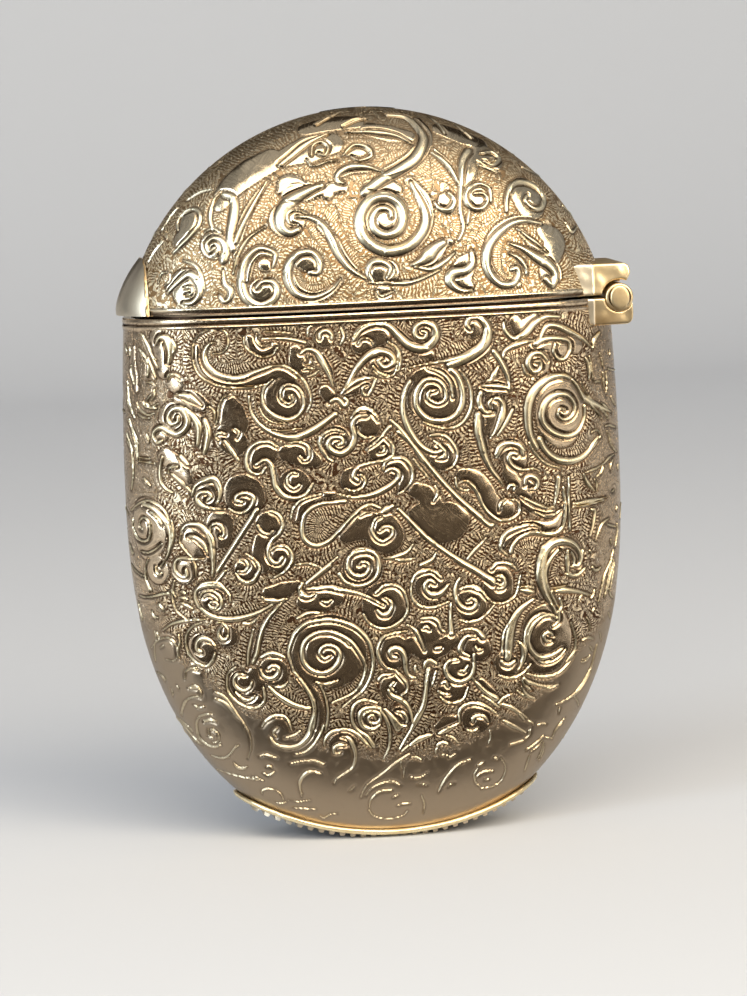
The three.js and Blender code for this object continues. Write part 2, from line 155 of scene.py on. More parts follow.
# The scrollwork, drawn on sheets as the camera sees it. A sheet has its upper left corner in
# millimetres from the centre of the view, and its drawing units per millimetre. A row has half
# widths in millimetres, spread evenly along the stroke, and the stroke's points, right and down
# from the corner. A row that starts with + goes on with the stroke above it.
RIDGES = """
@ left_edge_high -17.43 10.06 120
.05 .08 .05 | 240,130 270,210 310,290 350,330
.05 .08 .05 | 210,240 250,300 290,340
.06 .1 .06 | 265,330 285,380 285,440 275,470
.06 .1 .05 | 295,350 315,400 335,450 345,480
.05 .08 .05 | 155,370 150,430 165,480 175,530
.06 .1 .08 .05 | 120,500 125,580 130,640 145,710 165,770
.05 .08 .05 | 270,505 310,515 340,540
.05 .07 .05 | 330,570 335,620 310,650
.06 .1 .06 | 240,660 260,700 300,710 350,720
.05 .08 .05 | 195,670 205,710 230,740 280,770 330,760
.05 .08 .05 | 200,760 240,790 290,800
.05 .09 .05 | 135,800 150,870 165,930 170,960
.05 .08 .05 | 70,680 75,720 95,750
.06 .1 .06 | 135,230 140,260 138,300
.05 .08 .05 | 100,210 108,240 112,270
@ left_edge_middle -17.43 2.6 120
.06 .1 .08 .05 | 115,20 125,60 145,120 155,180 160,260 165,330 160,400 150,470
.05 .08 .06 | 165,40 180,100 190,170 200,240
.05 .07 .05 | 75,200 75,260 78,340
.05 .07 .05 | 270,30 285,70 290,90
.04 .06 .04 | 210,250 280,255 340,268
.04 .06 .04 | 215,215 260,222 300,226
.05 .08 .05 | 245,380 280,420 300,440
.05 .09 .09 .06 | 150,640 190,600 240,570 290,560 350,590 400,630 440,690 455,760 460,830 455,900 440,960
.05 .1 .1 .05 | 160,700 165,760 185,820 210,865 250,885 290,870 305,820 300,760 285,720 250,695 225,720 220,770 240,790
.05 .08 .05 | 300,650 340,680 380,720 400,760
.05 .09 .06 | 470,720 485,780 485,850 475,920 460,960
.05 .08 .05 | 95,560 105,620 125,670
.05 .07 .05 | 90,690 95,760 115,820
.05 .08 .05 | 135,900 150,950 165,985
@ left_edge_low -17.03 -4.87 120
.05 .08 .05 | 90,10 100,50 110,90
.05 .08 .05 | 180,70 240,80 300,50 350,10
.05 .08 .05 | 410,20 395,90 370,150 335,190
.05 .09 .06 | 240,130 215,190 215,260 225,330 245,390
.05 .1 .06 | 300,190 305,230 320,255 345,255 345,240
.05 .08 .05 | 100,170 130,220 170,255 200,270
.06 .1 .06 | 225,310 240,350 260,390
.05 .07 .05 | 85,290 110,340 120,400
.05 .07 .05 | 290,425 350,410 410,415
.06 .1 .05 | 320,490 345,520 360,550
.06 .1 .05 | 265,570 280,595 295,605
.05 .08 .05 | 155,490 170,530 180,570 190,600
.05 .08 .05 | 145,560 155,590 175,620
.05 .07 .05 | 290,710 300,750 300,790
.05 .07 .05 | 310,720 320,745 325,770
.05 .07 .05 | 185,730 195,750 200,770
.06 .08 .05 | 335,840 350,830 360,825
.05 .08 .05 | 290,800 290,880 300,950
.05 .08 .05 | 480,740 490,800 480,870 490,930
.05 .08 .05 | 540,760 545,840 560,920
@ left_edge_foot -15.9 -12.4 120
.05 .1 .05 | 180,130 215,165 240,205
.05 .1 .05 | 155,190 175,220 190,245
.05 .07 .05 | 290,270 300,300 302,320
.05 .07 .05 | 330,240 345,260 350,275
.05 .08 .05 | 400,180 405,130 440,105 490,100
.06 .1 .06 | 430,265 460,262 510,270 530,300 525,340
.05 .09 .05 | 460,335 420,350 390,400 375,450 375,480
.05 .09 .05 | 470,395 500,415 550,410
.05 .1 .1 .06 | 600,470 540,480 500,510 490,560 510,640 560,700 620,730 690,720
.05 .09 .06 | 550,525 600,510 645,530
.05 .1 .08 .05 | 600,600 640,605 670,640 660,690 620,700
.05 .08 .05 | 585,590 590,620 600,650
.05 .08 .08 .05 | 610,800 700,825 760,790 810,720
.06 .12 .06 | 640,295 700,330 760,390 810,460 860,540
.05 .1 .05 | 650,345 720,380 780,440
.05 .1 .08 .05 | 310,500 370,570 440,650 500,700 540,720
.05 .09 .05 | 350,500 410,560 460,610
.05 .1 .05 | 790,860 830,895 880,900
@ right_edge_high 12.17 10.06 120
.05 .08 .05 | 270,300 285,360 290,420 300,480 320,505 360,500
.05 .07 .05 | 353,275 360,290 364,305
.05 .07 .05 | 366,312 371,330 374,345
.05 .07 .05 | 374,355 380,370 382,385
.05 .08 .05 | 430,250 435,270 432,290
.05 .08 .05 | 405,420 410,480 408,560 405,600
.05 .08 .05 | 380,430 385,500 390,560
.05 .08 .05 | 420,400 470,410 490,395
.05 .08 .06 | 200,510 240,580 290,650 340,700 400,760 420,800
.05 .1 .05 | 220,650 270,680 330,740 370,800
.05 .1 .05 | 365,670 400,700 420,720
.05 .07 .05 | 445,620 460,660 480,690
.05 .07 .05 | 500,820 515,860 520,900
.05 .07 .05 | 400,860 430,850 480,870
.05 .08 .05 | 290,910 330,890 360,930 350,955
.05 .07 .05 | 510,540 520,600 522,680
@ right_edge_middle 12.43 2.6 120
.05 .08 .05 | 380,0 400,50 410,100 440,150 460,170
.05 .1 .05 | 440,190 400,215 370,250 350,270
.05 .1 .06 | 430,230 412,270 408,310
.05 .08 .05 | 465,270 468,290 465,310
.05 .09 .05 | 345,270 300,300 250,320 210,340
.05 .08 .05 | 350,280 335,330 300,370
.05 .08 .05 | 280,390 300,420 295,480
.05 .09 .06 .05 | 110,590 180,580 260,560 340,540 380,530
.05 .08 .05 | 110,610 200,600 280,580 360,555
.05 .1 .07 .05 | 400,700 360,730 330,770 310,820 290,880
.05 .08 .06 | 460,740 465,800 458,850 445,930
.05 .07 .05 | 490,400 495,500 490,600 485,700
.05 .07 .05 | 460,600 458,620 455,640
.05 .07 .05 | 440,470 430,482 420,490
.05 .07 .05 | 385,750 420,760 450,770
.05 .07 .05 | 410,870 414,890 415,910
@ right_edge_low 11.1 -4.87 120
.05 .08 .05 | 400,60 412,78 420,90
.05 .08 .06 | 420,200 440,220 480,205
.06 .1 .08 .05 | 590,60 575,130 565,200 550,290 535,370 520,440
.05 .08 .05 | 600,160 590,240 575,330 565,380
.05 .1 .05 | 410,450 430,420 440,380
.05 .08 .05 | 495,370 485,420 470,480
.05 .08 .05 | 555,370 570,420 585,440
.05 .07 .05 | 310,480 325,440 345,420
.05 .09 .05 | 340,785 370,765 400,760 430,775
.05 .08 .05 | 400,830 415,850 425,870
.05 .09 .05 | 340,940 370,930 400,910
.05 .08 .05 | 550,560 556,580 560,600
.05 .08 .06 | 250,640 270,700 290,780 280,860 240,920 210,960
.05 .1 .06 | 290,840 270,890 230,950
.05 .07 .05 | 480,720 486,750 490,780
.05 .07 .05 | 380,600 400,650 405,700
.05 .07 .05 | 440,520 430,540 420,560
@ right_edge_foot 8.43 -12.4 120
.05 .1 .1 .08 .05 | 750,30 735,80 700,150 660,220 610,290 550,340 490,375 450,390
.05 .08 .05 | 720,0 690,35 660,55
.05 .1 .05 | 520,500 470,560 440,610 420,650
.05 .07 .05 | 360,655 400,660 420,665
.05 .07 .05 | 300,555 330,545 370,550
.05 .09 .06 | 350,640 300,690 250,730 210,755
.05 .08 .05 | 350,700 330,770 300,830
.05 .08 .05 | 240,800 220,860 200,920
.05 .1 .06 .05 | 10,395 90,410 150,450 200,490 230,510
.05 .1 .05 | 20,520 80,560 150,590 210,620
.05 .1 .05 | 230,600 230,640 200,665
.05 .08 .05 | 190,300 220,330 280,345
.05 .08 .05 | 180,190 200,240 250,275
.05 .07 .05 | 480,420 474,440 470,460
.05 .07 .05 | 620,510 630,495 640,480
.05 .07 .05 | 590,320 620,360 630,400
@ lid_middle -10.03 25.06 90
.15 .28 .36 .36 .36 .34 .12 | 1010,745 1007,713 975,690 927,697 895,745 909,811 975,850 1051,821 1083,745
+ 1058,662 975,617 875,645 821,745 850,870 975,945 1132,902 1218,745 1125,530
.18 .5 .2 | 600,545 500,590 400,650 345,730 350,800 400,835 455,815
.06 .1 .06 | 500,720 430,700 385,730 400,780 440,790
.1 .28 .08 | 440,740 520,745 600,790 650,870 690,960 760,1050 860,1115
.06 .3 .12 | 960,470 860,440 760,440 690,480 690,520 730,540
.06 .18 .15 | 270,515 190,650 110,800 70,900
.05 .12 .05 | 250,800 150,870 90,970 60,1080
.1 .3 .14 | 300,1040 310,960 220,930 150,980 115,1060 110,1150 140,1230 220,1275 300,1240 325,1180
+ 290,1130 230,1135 200,1170
.06 .3 .15 | 705,1115 640,1185 540,1225 440,1200 390,1120 395,1030 450,965 530,955 580,1010 570,1075 515,1075
.08 .25 .06 | 905,1135 870,1080 890,1020 950,1010 1005,1050 980,1110
.06 .15 .06 | 870,1135 1000,1140 1120,1135 1220,1100 1300,1060
.06 .45 .2 | 1130,1030 1200,1000 1270,930 1330,890
.05 .2 .05 | 1150,1040 1250,1055 1330,1010 1390,955
.15 .35 .08 | 1490,945 1500,1010 1460,1060 1380,1080 1360,1130 1420,1180 1500,1185
.1 .25 .06 | 1350,590 1390,640 1360,700 1300,690 1270,650
.05 .2 .05 | 1250,350 1350,430 1420,550
.3 .15 .1 | 1480,330 1440,400 1430,520 1425,690 1445,800 1415,880
.06 .1 .06 | 1480,700 1475,740 1470,780
.08 .2 .1 | 1610,650 1600,570 1530,540 1465,580 1460,640 1500,690 1560,685 1590,640 1560,600 1510,600
.15 .4 .35 | 980,125 1100,140 1190,230 1200,300 1150,390 1050,460 960,510 840,600
.06 .25 .06 | 740,230 900,230 1030,250 1130,300
.1 .2 .06 | 720,370 780,310 860,320 890,370 820,400 770,380
.08 .15 .08 | 530,370 540,310 590,290 630,320 610,370 570,360
.06 .25 .2 | 630,240 500,300 400,380 340,430
.05 .1 .05 | 690,400 620,410 540,435 500,400
.06 .1 .06 | 1560,360 1640,350 1660,400 1600,400
.05 .08 .05 | 1530,430 1600,450 1660,470
.06 .1 .06 | 925,1190 945,1215 975,1210 1020,1190
.05 .1 .05 | 860,150 790,165 720,200
.05 .1 .05 | 700,110 620,150 560,190
.05 .1 .05 | 1230,130 1290,180 1330,240
.05 .1 .05 | 1390,180 1450,230 1490,270
@ lid_left -17.83 23.06 90
.1 .15 .1 | 430,640 425,590 470,530 530,510 560,550 545,620 500,680 440,740 400,775
.1 .3 .1 | 365,1020 430,955 500,905 550,950 560,1020 520,1075 460,1080
.06 .1 .06 | 470,985 510,985 515,1020 480,1030
.05 .12 .05 | 460,820 530,850 570,920 590,1000
.3 .18 .1 | 700,830 715,760 690,700 640,690 600,730 620,770 650,745
.06 .1 .06 | 590,650 640,630 690,655
.05 .08 .05 | 310,950 330,900 360,890
.05 .08 .05 | 380,900 380,940 350,970
.06 .2 .1 | 700,880 710,960 745,1000 740,1050 705,1070 680,1035
.05 .15 .1 | 690,410 640,470 620,560 640,640
.25 .32 .2 | 700,420 760,450 760,560 740,680 760,760
.05 .1 .05 | 330,640 380,560 430,500
.05 .1 .05 | 480,460 560,410 640,390
.05 .1 .05 | 250,830 290,760 340,700
@ lid_right 3.03 23.86 90
.1 .32 .15 | 740,670 640,655 560,670 480,730 420,810 405,900 430,980 490,1035 560,1035 600,985 590,940 555,950
.1 .3 .12 | 530,600 530,520 560,440 620,420 700,450 750,510 740,570 690,580 640,540 650,500
.06 .4 .2 | 540,790 620,820 700,870 780,920 820,980 800,1040 760,1000
.05 .15 .05 | 590,700 650,750 720,800 770,850
.1 .2 .06 | 370,250 430,240 480,280 440,320 390,300
.05 .08 .05 | 350,310 400,340 470,365
.06 .2 .06 | 545,850 600,880 640,930 650,980
.06 .15 .06 | 880,660 920,720 950,690
.05 .12 .05 | 860,560 920,620 980,700
.05 .12 .05 | 800,440 860,490 900,540
.05 .1 .05 | 620,330 700,370 760,410
.05 .1 .05 | 560,250 630,280 690,320
@ body_top_left -17.37 11.53 105
.12 .25 .12 | 345,1010 300,1020 280,960 330,915 390,945 450,965 510,920 520,850 480,790 420,790 385,840
+ 400,890 450,880 455,835
.05 .25 .05 | 430,690 520,700 620,765
.1 .25 .1 | 500,780 560,840 600,920 590,1050
.14 .22 .14 | 640,860 665,960 640,1100
.1 .3 .15 | 300,330 330,285 375,300 400,380 390,470
.06 .12 .06 | 410,300 430,360 405,430
.06 .12 .06 | 380,580 390,550 430,545 470,570
.06 .1 .05 | 190,260 240,340 270,420 310,500
.06 .1 .05 | 200,390 240,470 235,560
.05 .08 .05 | 240,430 290,550
.06 .1 .06 | 260,690 230,740 260,780 310,750
.06 .1 .05 | 100,600 105,750 150,850
.06 .1 .05 | 100,860 160,1000 170,1140
.05 .08 .05 | 90,1000 130,1100 130,1176
.07 .1 .06 | 790,965 740,955 715,985 740,1010
.08 .14 .08 | 780,1010 830,1080 880,1150
.1 .15 .08 | 935,1150 950,1080 1010,1030 1090,1020 1140,1050
.07 .12 .07 | 1230,1030 1290,1020 1360,1050 1375,1120 1340,1150 1310,1120
@ body_top_middle -5.83 12.0 105
.1 .18 .2 | 1050,705 1000,720 1000,770 1060,800 1115,770 1110,690 1050,635 970,640 915,720 915,820 980,900
+ 1080,925 1180,890 1235,800 1235,700 1200,610 1150,560
.06 .12 .08 | 990,550 1090,590 1150,660 1170,760
.06 .12 .06 | 1210,560 1270,640 1300,740 1290,850 1230,940 1140,975 1040,960 960,930
.12 .2 .12 | 870,640 830,720 820,830 840,930 890,1030 960,1110 1040,1145 1090,1130
.08 .12 .06 | 1035,1060 1100,1120 1110,1160 1060,1185
.1 .3 .1 | 470,360 530,285 620,245 710,255 780,320 850,385 930,415 1000,395 1050,330 1030,255 960,235
+ 905,270 910,330 960,345 985,310 950,290
.05 .28 .1 | 385,735 440,650 500,550 570,475 650,435 725,455 755,510 690,550 645,500 680,485
.05 .12 .05 | 710,370 770,410 800,480 790,560 770,575
.06 .1 .05 | 610,540 660,590 740,610
.05 .2 .05 | 400,720 470,660 540,625 620,620
.08 .1 .05 | 630,630 600,700 570,745 540,730 535,690 570,670
.12 .15 .1 | 310,790 350,770 380,785 410,820 430,790 410,760
.2 .25 .1 | 0,1040 100,1030 220,970 320,890 350,870
.1 .22 .1 | 570,885 500,895 465,950 480,1030 455,1105 390,1150 320,1130 295,1080 325,1040 380,1040
+ 400,1075 365,1090
.08 .12 .04 | 470,880 500,850 560,840 610,870 640,910
.05 .1 .04 | 500,960 510,1010 560,1040 620,1025
.06 .1 .06 | 240,1080 260,1020 330,985 400,1000
.08 .12 .08 | 235,1030 240,1100 290,1180 330,1205
.15 .1 .04 | 735,955 640,1060 560,1125
.1 .12 .12 | 730,915 800,980 880,1080 960,1211
.06 .1 .06 | 700,1040 745,1090 750,1160 700,1195
.06 .08 .05 | 680,1095 690,1130 650,1145
.06 .1 .05 | 150,330 160,270 210,250
.1 .16 .1 | 235,350 240,310 280,290 320,320 320,350
.05 .12 .05 | 380,260 405,330 380,390
.1 .2 .06 | 100,450 150,420 210,440 250,500 300,590 330,680
.06 .1 .05 | 175,480 170,520 140,525
.04 .08 .04 | 120,560 160,552 200,560
.04 .08 .04 | 150,610 190,600 230,570
.04 .12 .28 | 865,548 1000,520 1130,500 1260,465 1344,420
@ body_top_right 5.03 12.6 105
.12 .33 .3 | 150,345 125,310 150,262 215,262 270,330 262,420 200,495 100,555 0,595
.08 .25 .1 | 385,290 400,360 460,410 540,370 600,300 680,255 780,255
.1 .25 .04 | 640,400 690,320 760,320 830,350 930,400 1010,475
.2 .15 .1 | 600,450 660,415 740,405 830,420 850,480 820,540 770,550 735,500 745,440
.1 .2 .08 | 690,560 640,510 580,520 555,580 590,640 640,620 640,570 600,570
.06 .08 .05 | 520,590 540,650 580,670
.08 .2 .05 | 380,540 400,490 480,450 600,420
.15 .2 .05 | 310,490 360,560 400,640 420,700 425,780
.05 .2 .05 | 350,600 300,690 270,700
.08 .25 .12 | 815,905 775,900 765,945 805,975 865,945 880,870 830,805 750,800 680,850 650,930 670,1010
+ 740,1070 830,1090 910,1050 950,960 950,870
.2 .33 .15 | 620,1180 570,1080 555,960 565,850 610,760 690,690 780,665 850,680
.12 .25 .05 | 860,690 900,740 950,820 1040,870 1140,920
.12 .25 .05 | 320,830 350,830 385,880 370,960 330,1050 290,1110
.1 .15 .05 | 450,900 400,1000 340,1090
.15 .2 .06 | 225,780 215,850 250,920 310,925
.1 .2 .1 | 230,740 300,740 400,750 420,770
.06 .1 .06 | 300,830 280,860 290,900
.2 .25 .2 | 205,930 200,1030 225,1130 250,1225
.12 .2 .12 | 330,1225 360,1160 430,1140 500,1170 520,1225
.1 .2 .05 | 960,540 985,600 985,690
.06 .12 .06 | 980,1190 1050,1090
.1 .2 .06 | 1060,360 1020,420 1010,480
@ shoulder_left -8.9 11.26 135
.06 .17 .2 .2 .2 .16 .1 | -230,380 -270,390 -305,430 -325,500 -300,580 -240,645 -160,685 -60,702 30,690 120,655
+ 210,622 290,592
.05 .06 .05 | -170,262 -120,300 -110,400 -160,470 -240,480
.05 .06 .07 .06 | -280,262 -370,310 -425,400 -420,560 -370,670 -270,740 -170,775 -70,787 30,787 120,783 235,755
.07 .09 .08 .05 | 290,592 390,590 490,640 575,725 630,840 635,930 600,1010
.07 .08 .1 .17 .14 .1 .09 .09 .08 .06 | 290,715 220,790 200,880 230,970 310,1040 420,1075 520,1040 570,960 570,870
+ 530,800 470,765 400,770 365,820 370,890 430,930 480,900 465,850
.06 .09 .14 .2 .22 .18 | 80,860 100,1000 170,1110 280,1190 400,1230 520,1230 640,1180 760,1100 865,1020
.04 .05 .04 | 170,960 220,1050 300,1100 420,1112
.04 .06 .04 | 250,1160 400,1172 560,1150
.05 .06 .05 | 30,330 50,420 120,480 200,512 290,490 335,425
.06 .1 .06 | 150,300 150,360 200,415 270,395
.05 .12 .12 | 200,345 350,340 480,355 590,383
.04 .08 .06 | 220,285 340,285 470,300
.05 .09 .05 | 1015,340 1060,270 1130,222 1240,212
.04 .07 .04 | 1062,392 1090,350 1130,340 1180,360 1200,400
.04 .06 .04 | 1330,370 1420,450 1412,600 1370,680 1280,692 1200,635
.04 .06 .04 | 1000,1060 1050,985 1125,960 1205,1000 1245,1085
.05 .09 .05 | -85,845 -155,880 -192,960 -202,1060 -220,1115
.04 .08 .04 | -280,955 -235,1000 -230,1085
.04 .09 .04 | -50,1150 -10,1190 -25,1240
@ body_middle_left -17.03 2.0 105
.16 .16 .14 | 978,488 834,709 690,930
.1 .12 .05 | 750,920 705,980 665,1030
.05 .15 .12 | 775,485 830,515 895,505 940,455 945,405 890,378 835,395 825,430 870,440
.08 .15 .1 | 745,492 670,488 590,465 550,415 575,375 625,372 650,405 620,430
.1 .22 .1 | 515,400 540,330 600,290 670,280 710,340 710,410 690,450
.06 .12 .08 | 650,650 650,610 690,590 730,620 740,670 720,680
.1 .18 .08 | 965,180 990,165 1030,145 1070,180 1090,260 1105,335 1160,395 1240,412 1315,385 1365,310
.08 .14 .08 | 1120,55 1050,22 965,30 910,95 900,170 930,235 1000,240 1035,195
.1 .1 .06 | 1270,320 1230,345 1190,320 1185,270 1215,235 1250,240
.08 .14 .14 | 1065,500 1125,530 1155,600 1125,665 1075,715 1050,790 1075,855 1125,865 1150,825
.06 .12 .05 | 1070,780 1110,750 1180,755 1220,810 1210,870 1160,930 1090,970
.05 .1 .05 | 975,600 1010,650 1060,665 1085,640
.06 .1 .05 | 850,840 890,850 910,890 880,925 840,920
.05 .12 .05 | 890,800 960,850 990,910 950,980 890,1000 840,980
.15 .2 .05 | 170,450 240,480 310,550 355,620 365,700 350,800 300,890
.05 .08 .05 | 105,560 105,620 130,690 180,715
.1 .22 .1 | 440,640 480,600 560,600 620,650 655,720 665,850 660,960
.1 .15 .05 | 495,680 545,690 600,740 630,810
.05 .1 .04 | 440,660 430,720 470,780 520,830
.05 .12 .12 | 600,835 520,840 440,830 400,860 400,920 440,960 480,960 475,910
.05 .07 .05 | 520,840 540,890 545,960
.1 .15 .05 | 310,120 290,200 295,290 330,345 380,375
.06 .1 .06 | 350,240 360,200 420,190
.1 .15 .04 | 370,240 440,300 510,370
.1 .16 .1 | 430,110 470,160 490,180
.08 .15 .08 | 545,1050 600,1010 700,1010 760,1070
.06 .1 .06 | 390,990 380,1060 400,1106
.06 .09 .06 | 1240,880 1330,870 1421,900
.07 .09 .07 | 1210,560 1230,480 1300,420 1421,385
@ body_middle_middle -5.43 2.53 105
.12 .15 .12 | 740,0 830,80 950,230 1060,360 1180,480 1337,610
.05 .07 .05 | 850,190 900,260 960,330
.1 .15 .12 | 740,540 830,630 950,750 1100,860 1200,920 1337,1000
.1 .12 .05 | 970,30 1060,30 1120,80 1160,160 1130,240 1080,270
.1 .13 .08 | 1070,130 1070,180 1020,190
.12 .15 .1 | 380,490 200,510 100,570 70,670 90,760 160,800 250,775 330,700 400,620 480,545 550,515 620,540
.06 .2 .12 | 320,440 430,462 560,445 660,400 735,340 745,290 700,262 655,285
.08 .14 .05 | 640,270 650,220 700,190 780,190 840,260 840,340 790,410 740,440
.08 .12 .15 | 700,170 640,205 540,225 460,255 430,315 465,350
.06 .1 .05 | 475,300 515,340 490,395 430,418 370,400
.06 .09 .06 | 690,70 715,120 700,180
.04 .25 .1 | 610,570 660,550 710,520
.06 .12 .08 | 620,595 580,620 560,690 590,750 640,770 700,730 700,680 655,665 610,695
.05 .08 .05 | 480,590 510,570 550,565
.08 .16 .08 | 470,935 490,915 530,925 540,970 500,1010 440,1010 395,960 400,890 450,850 530,840 590,870
+ 610,940 590,1020 520,1070 430,1080 370,1050 330,990
.06 .1 .06 | 420,850 480,820 580,840
.05 .18 .04 | 640,890 720,880 800,850 850,790
.05 .12 .04 | 690,885 770,905 860,890
.15 .15 .04 | 900,940 980,900 1010,850
.06 .12 .05 | 840,1060 870,1000 940,970 1010,990 1050,1030
.08 .14 .05 | 1000,1060 960,1040 930,1075 940,1120 990,1145 1050,1120 1100,1070
.05 .14 .04 | 320,880 230,960 100,1060
.08 .12 .05 | 100,1105 200,1095 330,1105 450,1130 530,1160
.06 .09 .06 | 70,1060 55,1110 90,1150
.05 .08 .05 | 1000,380 1020,430 990,490
.05 .1 .08 | 1170,365 1215,345 1260,380 1310,450 1337,520
.05 .08 .05 | 1145,320 1160,390 1210,415 1240,410
.05 .1 .04 | 1225,895 1280,830 1337,770
.05 .1 .05 | 590,1130 640,1080 720,1080 780,1110 800,1160
.06 .1 .06 | 1170,1110 1240,1090 1320,1120
@ body_middle_right 5.43 3.33 105
.2 .22 .06 | 165,0 175,120 200,230 250,340 310,420 340,465
.05 .15 .15 | 595,362 540,345 470,355 410,330 375,280 395,240 440,245
.08 .16 .08 | 290,270 330,200 390,170 450,175 490,220
.1 .2 .08 | 490,460 500,410 540,400 580,430 570,480 530,490
.06 .1 .06 | 370,490 385,460 420,465 410,495
.05 .12 .08 | 25,450 80,430 140,480 185,580 240,660 320,708 400,695 455,645 440,575 390,560
.06 .1 .06 | 310,640 320,585 355,558
.16 .16 .14 | 0,530 120,640 240,740 270,735
.14 .15 .14 | 0,975 120,1050 280,1130
.06 .1 .06 | 290,1150 330,1160 350,1120 320,1090 290,1100
.05 .1 .06 | 220,830 150,910 90,980
.05 .12 .05 | 250,1050 290,1010 360,1010 430,1050
.12 .16 .1 | 390,940 410,880 470,820 560,795 650,805 720,790 760,740 775,640 770,540 760,470
.05 .2 .05 | 370,955 320,900 350,810 440,760 540,740 600,760
.2 .15 .05 | 730,400 720,500 700,600
.06 .1 .06 | 800,400 800,600 810,780
.05 .16 .05 | 460,540 540,580 640,620 700,615
.05 .15 .05 | 560,650 640,680 700,665 745,630
.3 .3 .1 | 620,1190 600,1080 610,970 670,880 760,850 840,880 880,950 870,1020 830,1020
.05 .12 .05 | 790,920 800,1000 795,1070 850,1090 910,1050
.05 .15 .04 | 830,590 950,570 1060,545
.05 .2 .04 | 905,380 930,440 980,500
.1 .15 .05 | 960,630 985,640 970,740 950,820
.2 .25 .12 | 590,130 640,220 720,280 820,290 900,260 960,200 1000,150
.06 .1 .06 | 520,160 560,230 640,310 740,340
@ body_low_left -16.63 -6.94 105
.06 .15 .15 | 745,200 735,150 690,105 630,85 560,90 505,120 500,180 530,240
.12 .2 .06 | 530,240 600,295 700,322 800,318 900,290 985,252 1045,215
.06 .1 .08 | 530,170 560,130 620,125 670,165 685,215 660,255 615,250 590,215
.05 .1 .05 | 560,165 590,150 630,165 660,195
.06 .1 .06 | 600,205 635,200 655,225 635,245 610,235
.1 .12 .08 | 700,0 655,50 620,95
.05 .15 .12 | 780,0 820,50 870,65 915,45 930,0
.04 .2 .04 | 965,165 1000,188 1070,195 1140,175
.05 .14 .14 | 1140,180 1090,220 1020,300 970,390 945,480 930,560 900,630
.05 .1 .08 | 905,390 885,480 870,560 865,640
.06 .1 .05 | 830,350 890,350 935,315
.05 .15 .1 | 690,370 665,400 665,440 690,465 720,455 725,430
.05 .08 .05 | 640,350 680,345 720,380 730,430
.04 .12 .06 | 270,395 340,350 450,328 560,322
.05 .12 .1 | 540,348 480,370 440,420 430,490 450,560 500,620 570,650 620,610 635,560
.05 .2 .15 | 640,510 600,470 550,455 515,480 510,530 545,555
.06 .12 .1 | 780,660 730,700 720,760 730,830 775,890 840,930 900,945 960,925 985,880 975,800
.06 .14 .08 | 850,715 800,705 770,740 780,790 830,820 880,800 895,760
.05 .15 .05 | 780,830 830,880 880,885 920,855
.08 .18 .08 | 955,670 975,720 1030,738 1075,710 1080,665 1040,645 1005,670
.06 .2 .08 | 955,590 1010,565 1070,570 1125,590
.06 .12 .04 | 1060,795 1110,795 1145,765
.08 .2 .1 | 1010,790 1070,850 1150,905 1230,935 1305,945
.05 .12 .04 | 640,830 690,855 740,900
.1 .2 .08 | 635,875 700,905 770,970 830,1040 848,1080
.05 .1 .06 | 425,740 430,690 470,665 520,680
.05 .15 .06 | 450,800 480,788 520,800 530,830
.05 .1 .06 | 395,980 420,900 470,870 520,860
.05 .12 .05 | 490,920 520,940 560,940
.05 .1 .05 | 520,1000 580,985 620,990
.05 .12 .05 | 555,1030 600,1025 640,1045
.04 .15 .04 | 225,690 260,710 290,745
.04 .12 .04 | 230,220 265,245 275,270
.06 .08 .06 | 190,265 205,300 230,310
.05 .1 .05 | 95,200 110,260 125,330
.05 .08 .05 | 225,410 235,430 245,450
.05 .1 .04 | 390,130 410,132 430,145
.05 .1 .04 | 385,170 415,172 445,185
.05 .12 .04 | 395,205 430,222 480,250
.05 .1 .05 | 330,120 340,200 370,270 430,320
.04 .08 .04 | 100,155 160,165 290,140 330,110
.04 .1 .04 | 190,520 230,470 290,450 350,480 375,560 350,610 290,600
.05 .15 .05 | 330,970 390,1030 440,1080
@ body_low_middle -5.1 -6.4 105
.1 .16 .15 .14 .1 .06 | 235,635 190,655 160,620 175,580 215,563 265,575 300,620 290,680 240,735 180,755
+ 110,740 55,690 35,610 60,530 130,480 215,465 300,490 380,540 440,620 478,700 470,780 430,860 370,910
+ 290,945 245,965
.05 .1 .05 | 160,480 250,480 330,520 370,560
.04 .12 .05 | 130,820 210,830 290,805
.08 .14 .14 .12 .05 | -20,750 -50,660 -56,600 -30,510 0,460 60,412 130,392 230,382 330,402 430,450 500,530
+ 530,620 535,700 510,800 460,880 400,930 320,995
.08 .16 .05 | 0,375 60,345 110,333 180,335
.06 .13 .12 | -30,740 0,770 60,850 110,940 125,1030 120,1100 110,1150
.05 .09 .08 | 150,820 190,900 215,1000 215,1080 200,1150
.12 .18 .1 .05 | 75,170 150,160 230,155 310,175 400,190 480,215 550,250 605,280
.05 .15 .15 | 60,135 130,85 200,30 235,0
.08 .2 .08 | 40,125 20,170 45,215 85,222 118,205
.05 .15 .05 | 175,250 210,262 240,245
.1 .08 .12 .06 | 550,195 610,150 680,140 740,180 775,260 770,340 720,400 650,440 570,440 500,400 465,340
.06 .2 .1 .04 | 560,310 590,345 630,345 660,310 665,270 640,240 610,225
.08 .2 .08 | 350,20 380,60 430,80 480,65 505,20
.08 .14 .06 | 290,60 340,120 420,145 500,130 560,80
.06 .14 .06 | 800,125 830,75 890,40 950,40 1005,90
.05 .09 .12 .05 | 805,130 800,190 820,250 870,290 950,295 1020,275 1065,255
.08 .14 .22 .06 | 970,130 925,110 900,150 910,185 950,210 1010,195 1065,130
.1 .12 .18 .08 | 1140,90 1110,160 1115,230 1150,290 1210,310 1250,285 1250,250 1220,235 1195,250
.05 .14 .06 | 1135,380 1200,400 1270,385 1320,350
.05 .12 .16 | 1080,260 1075,370 1085,490
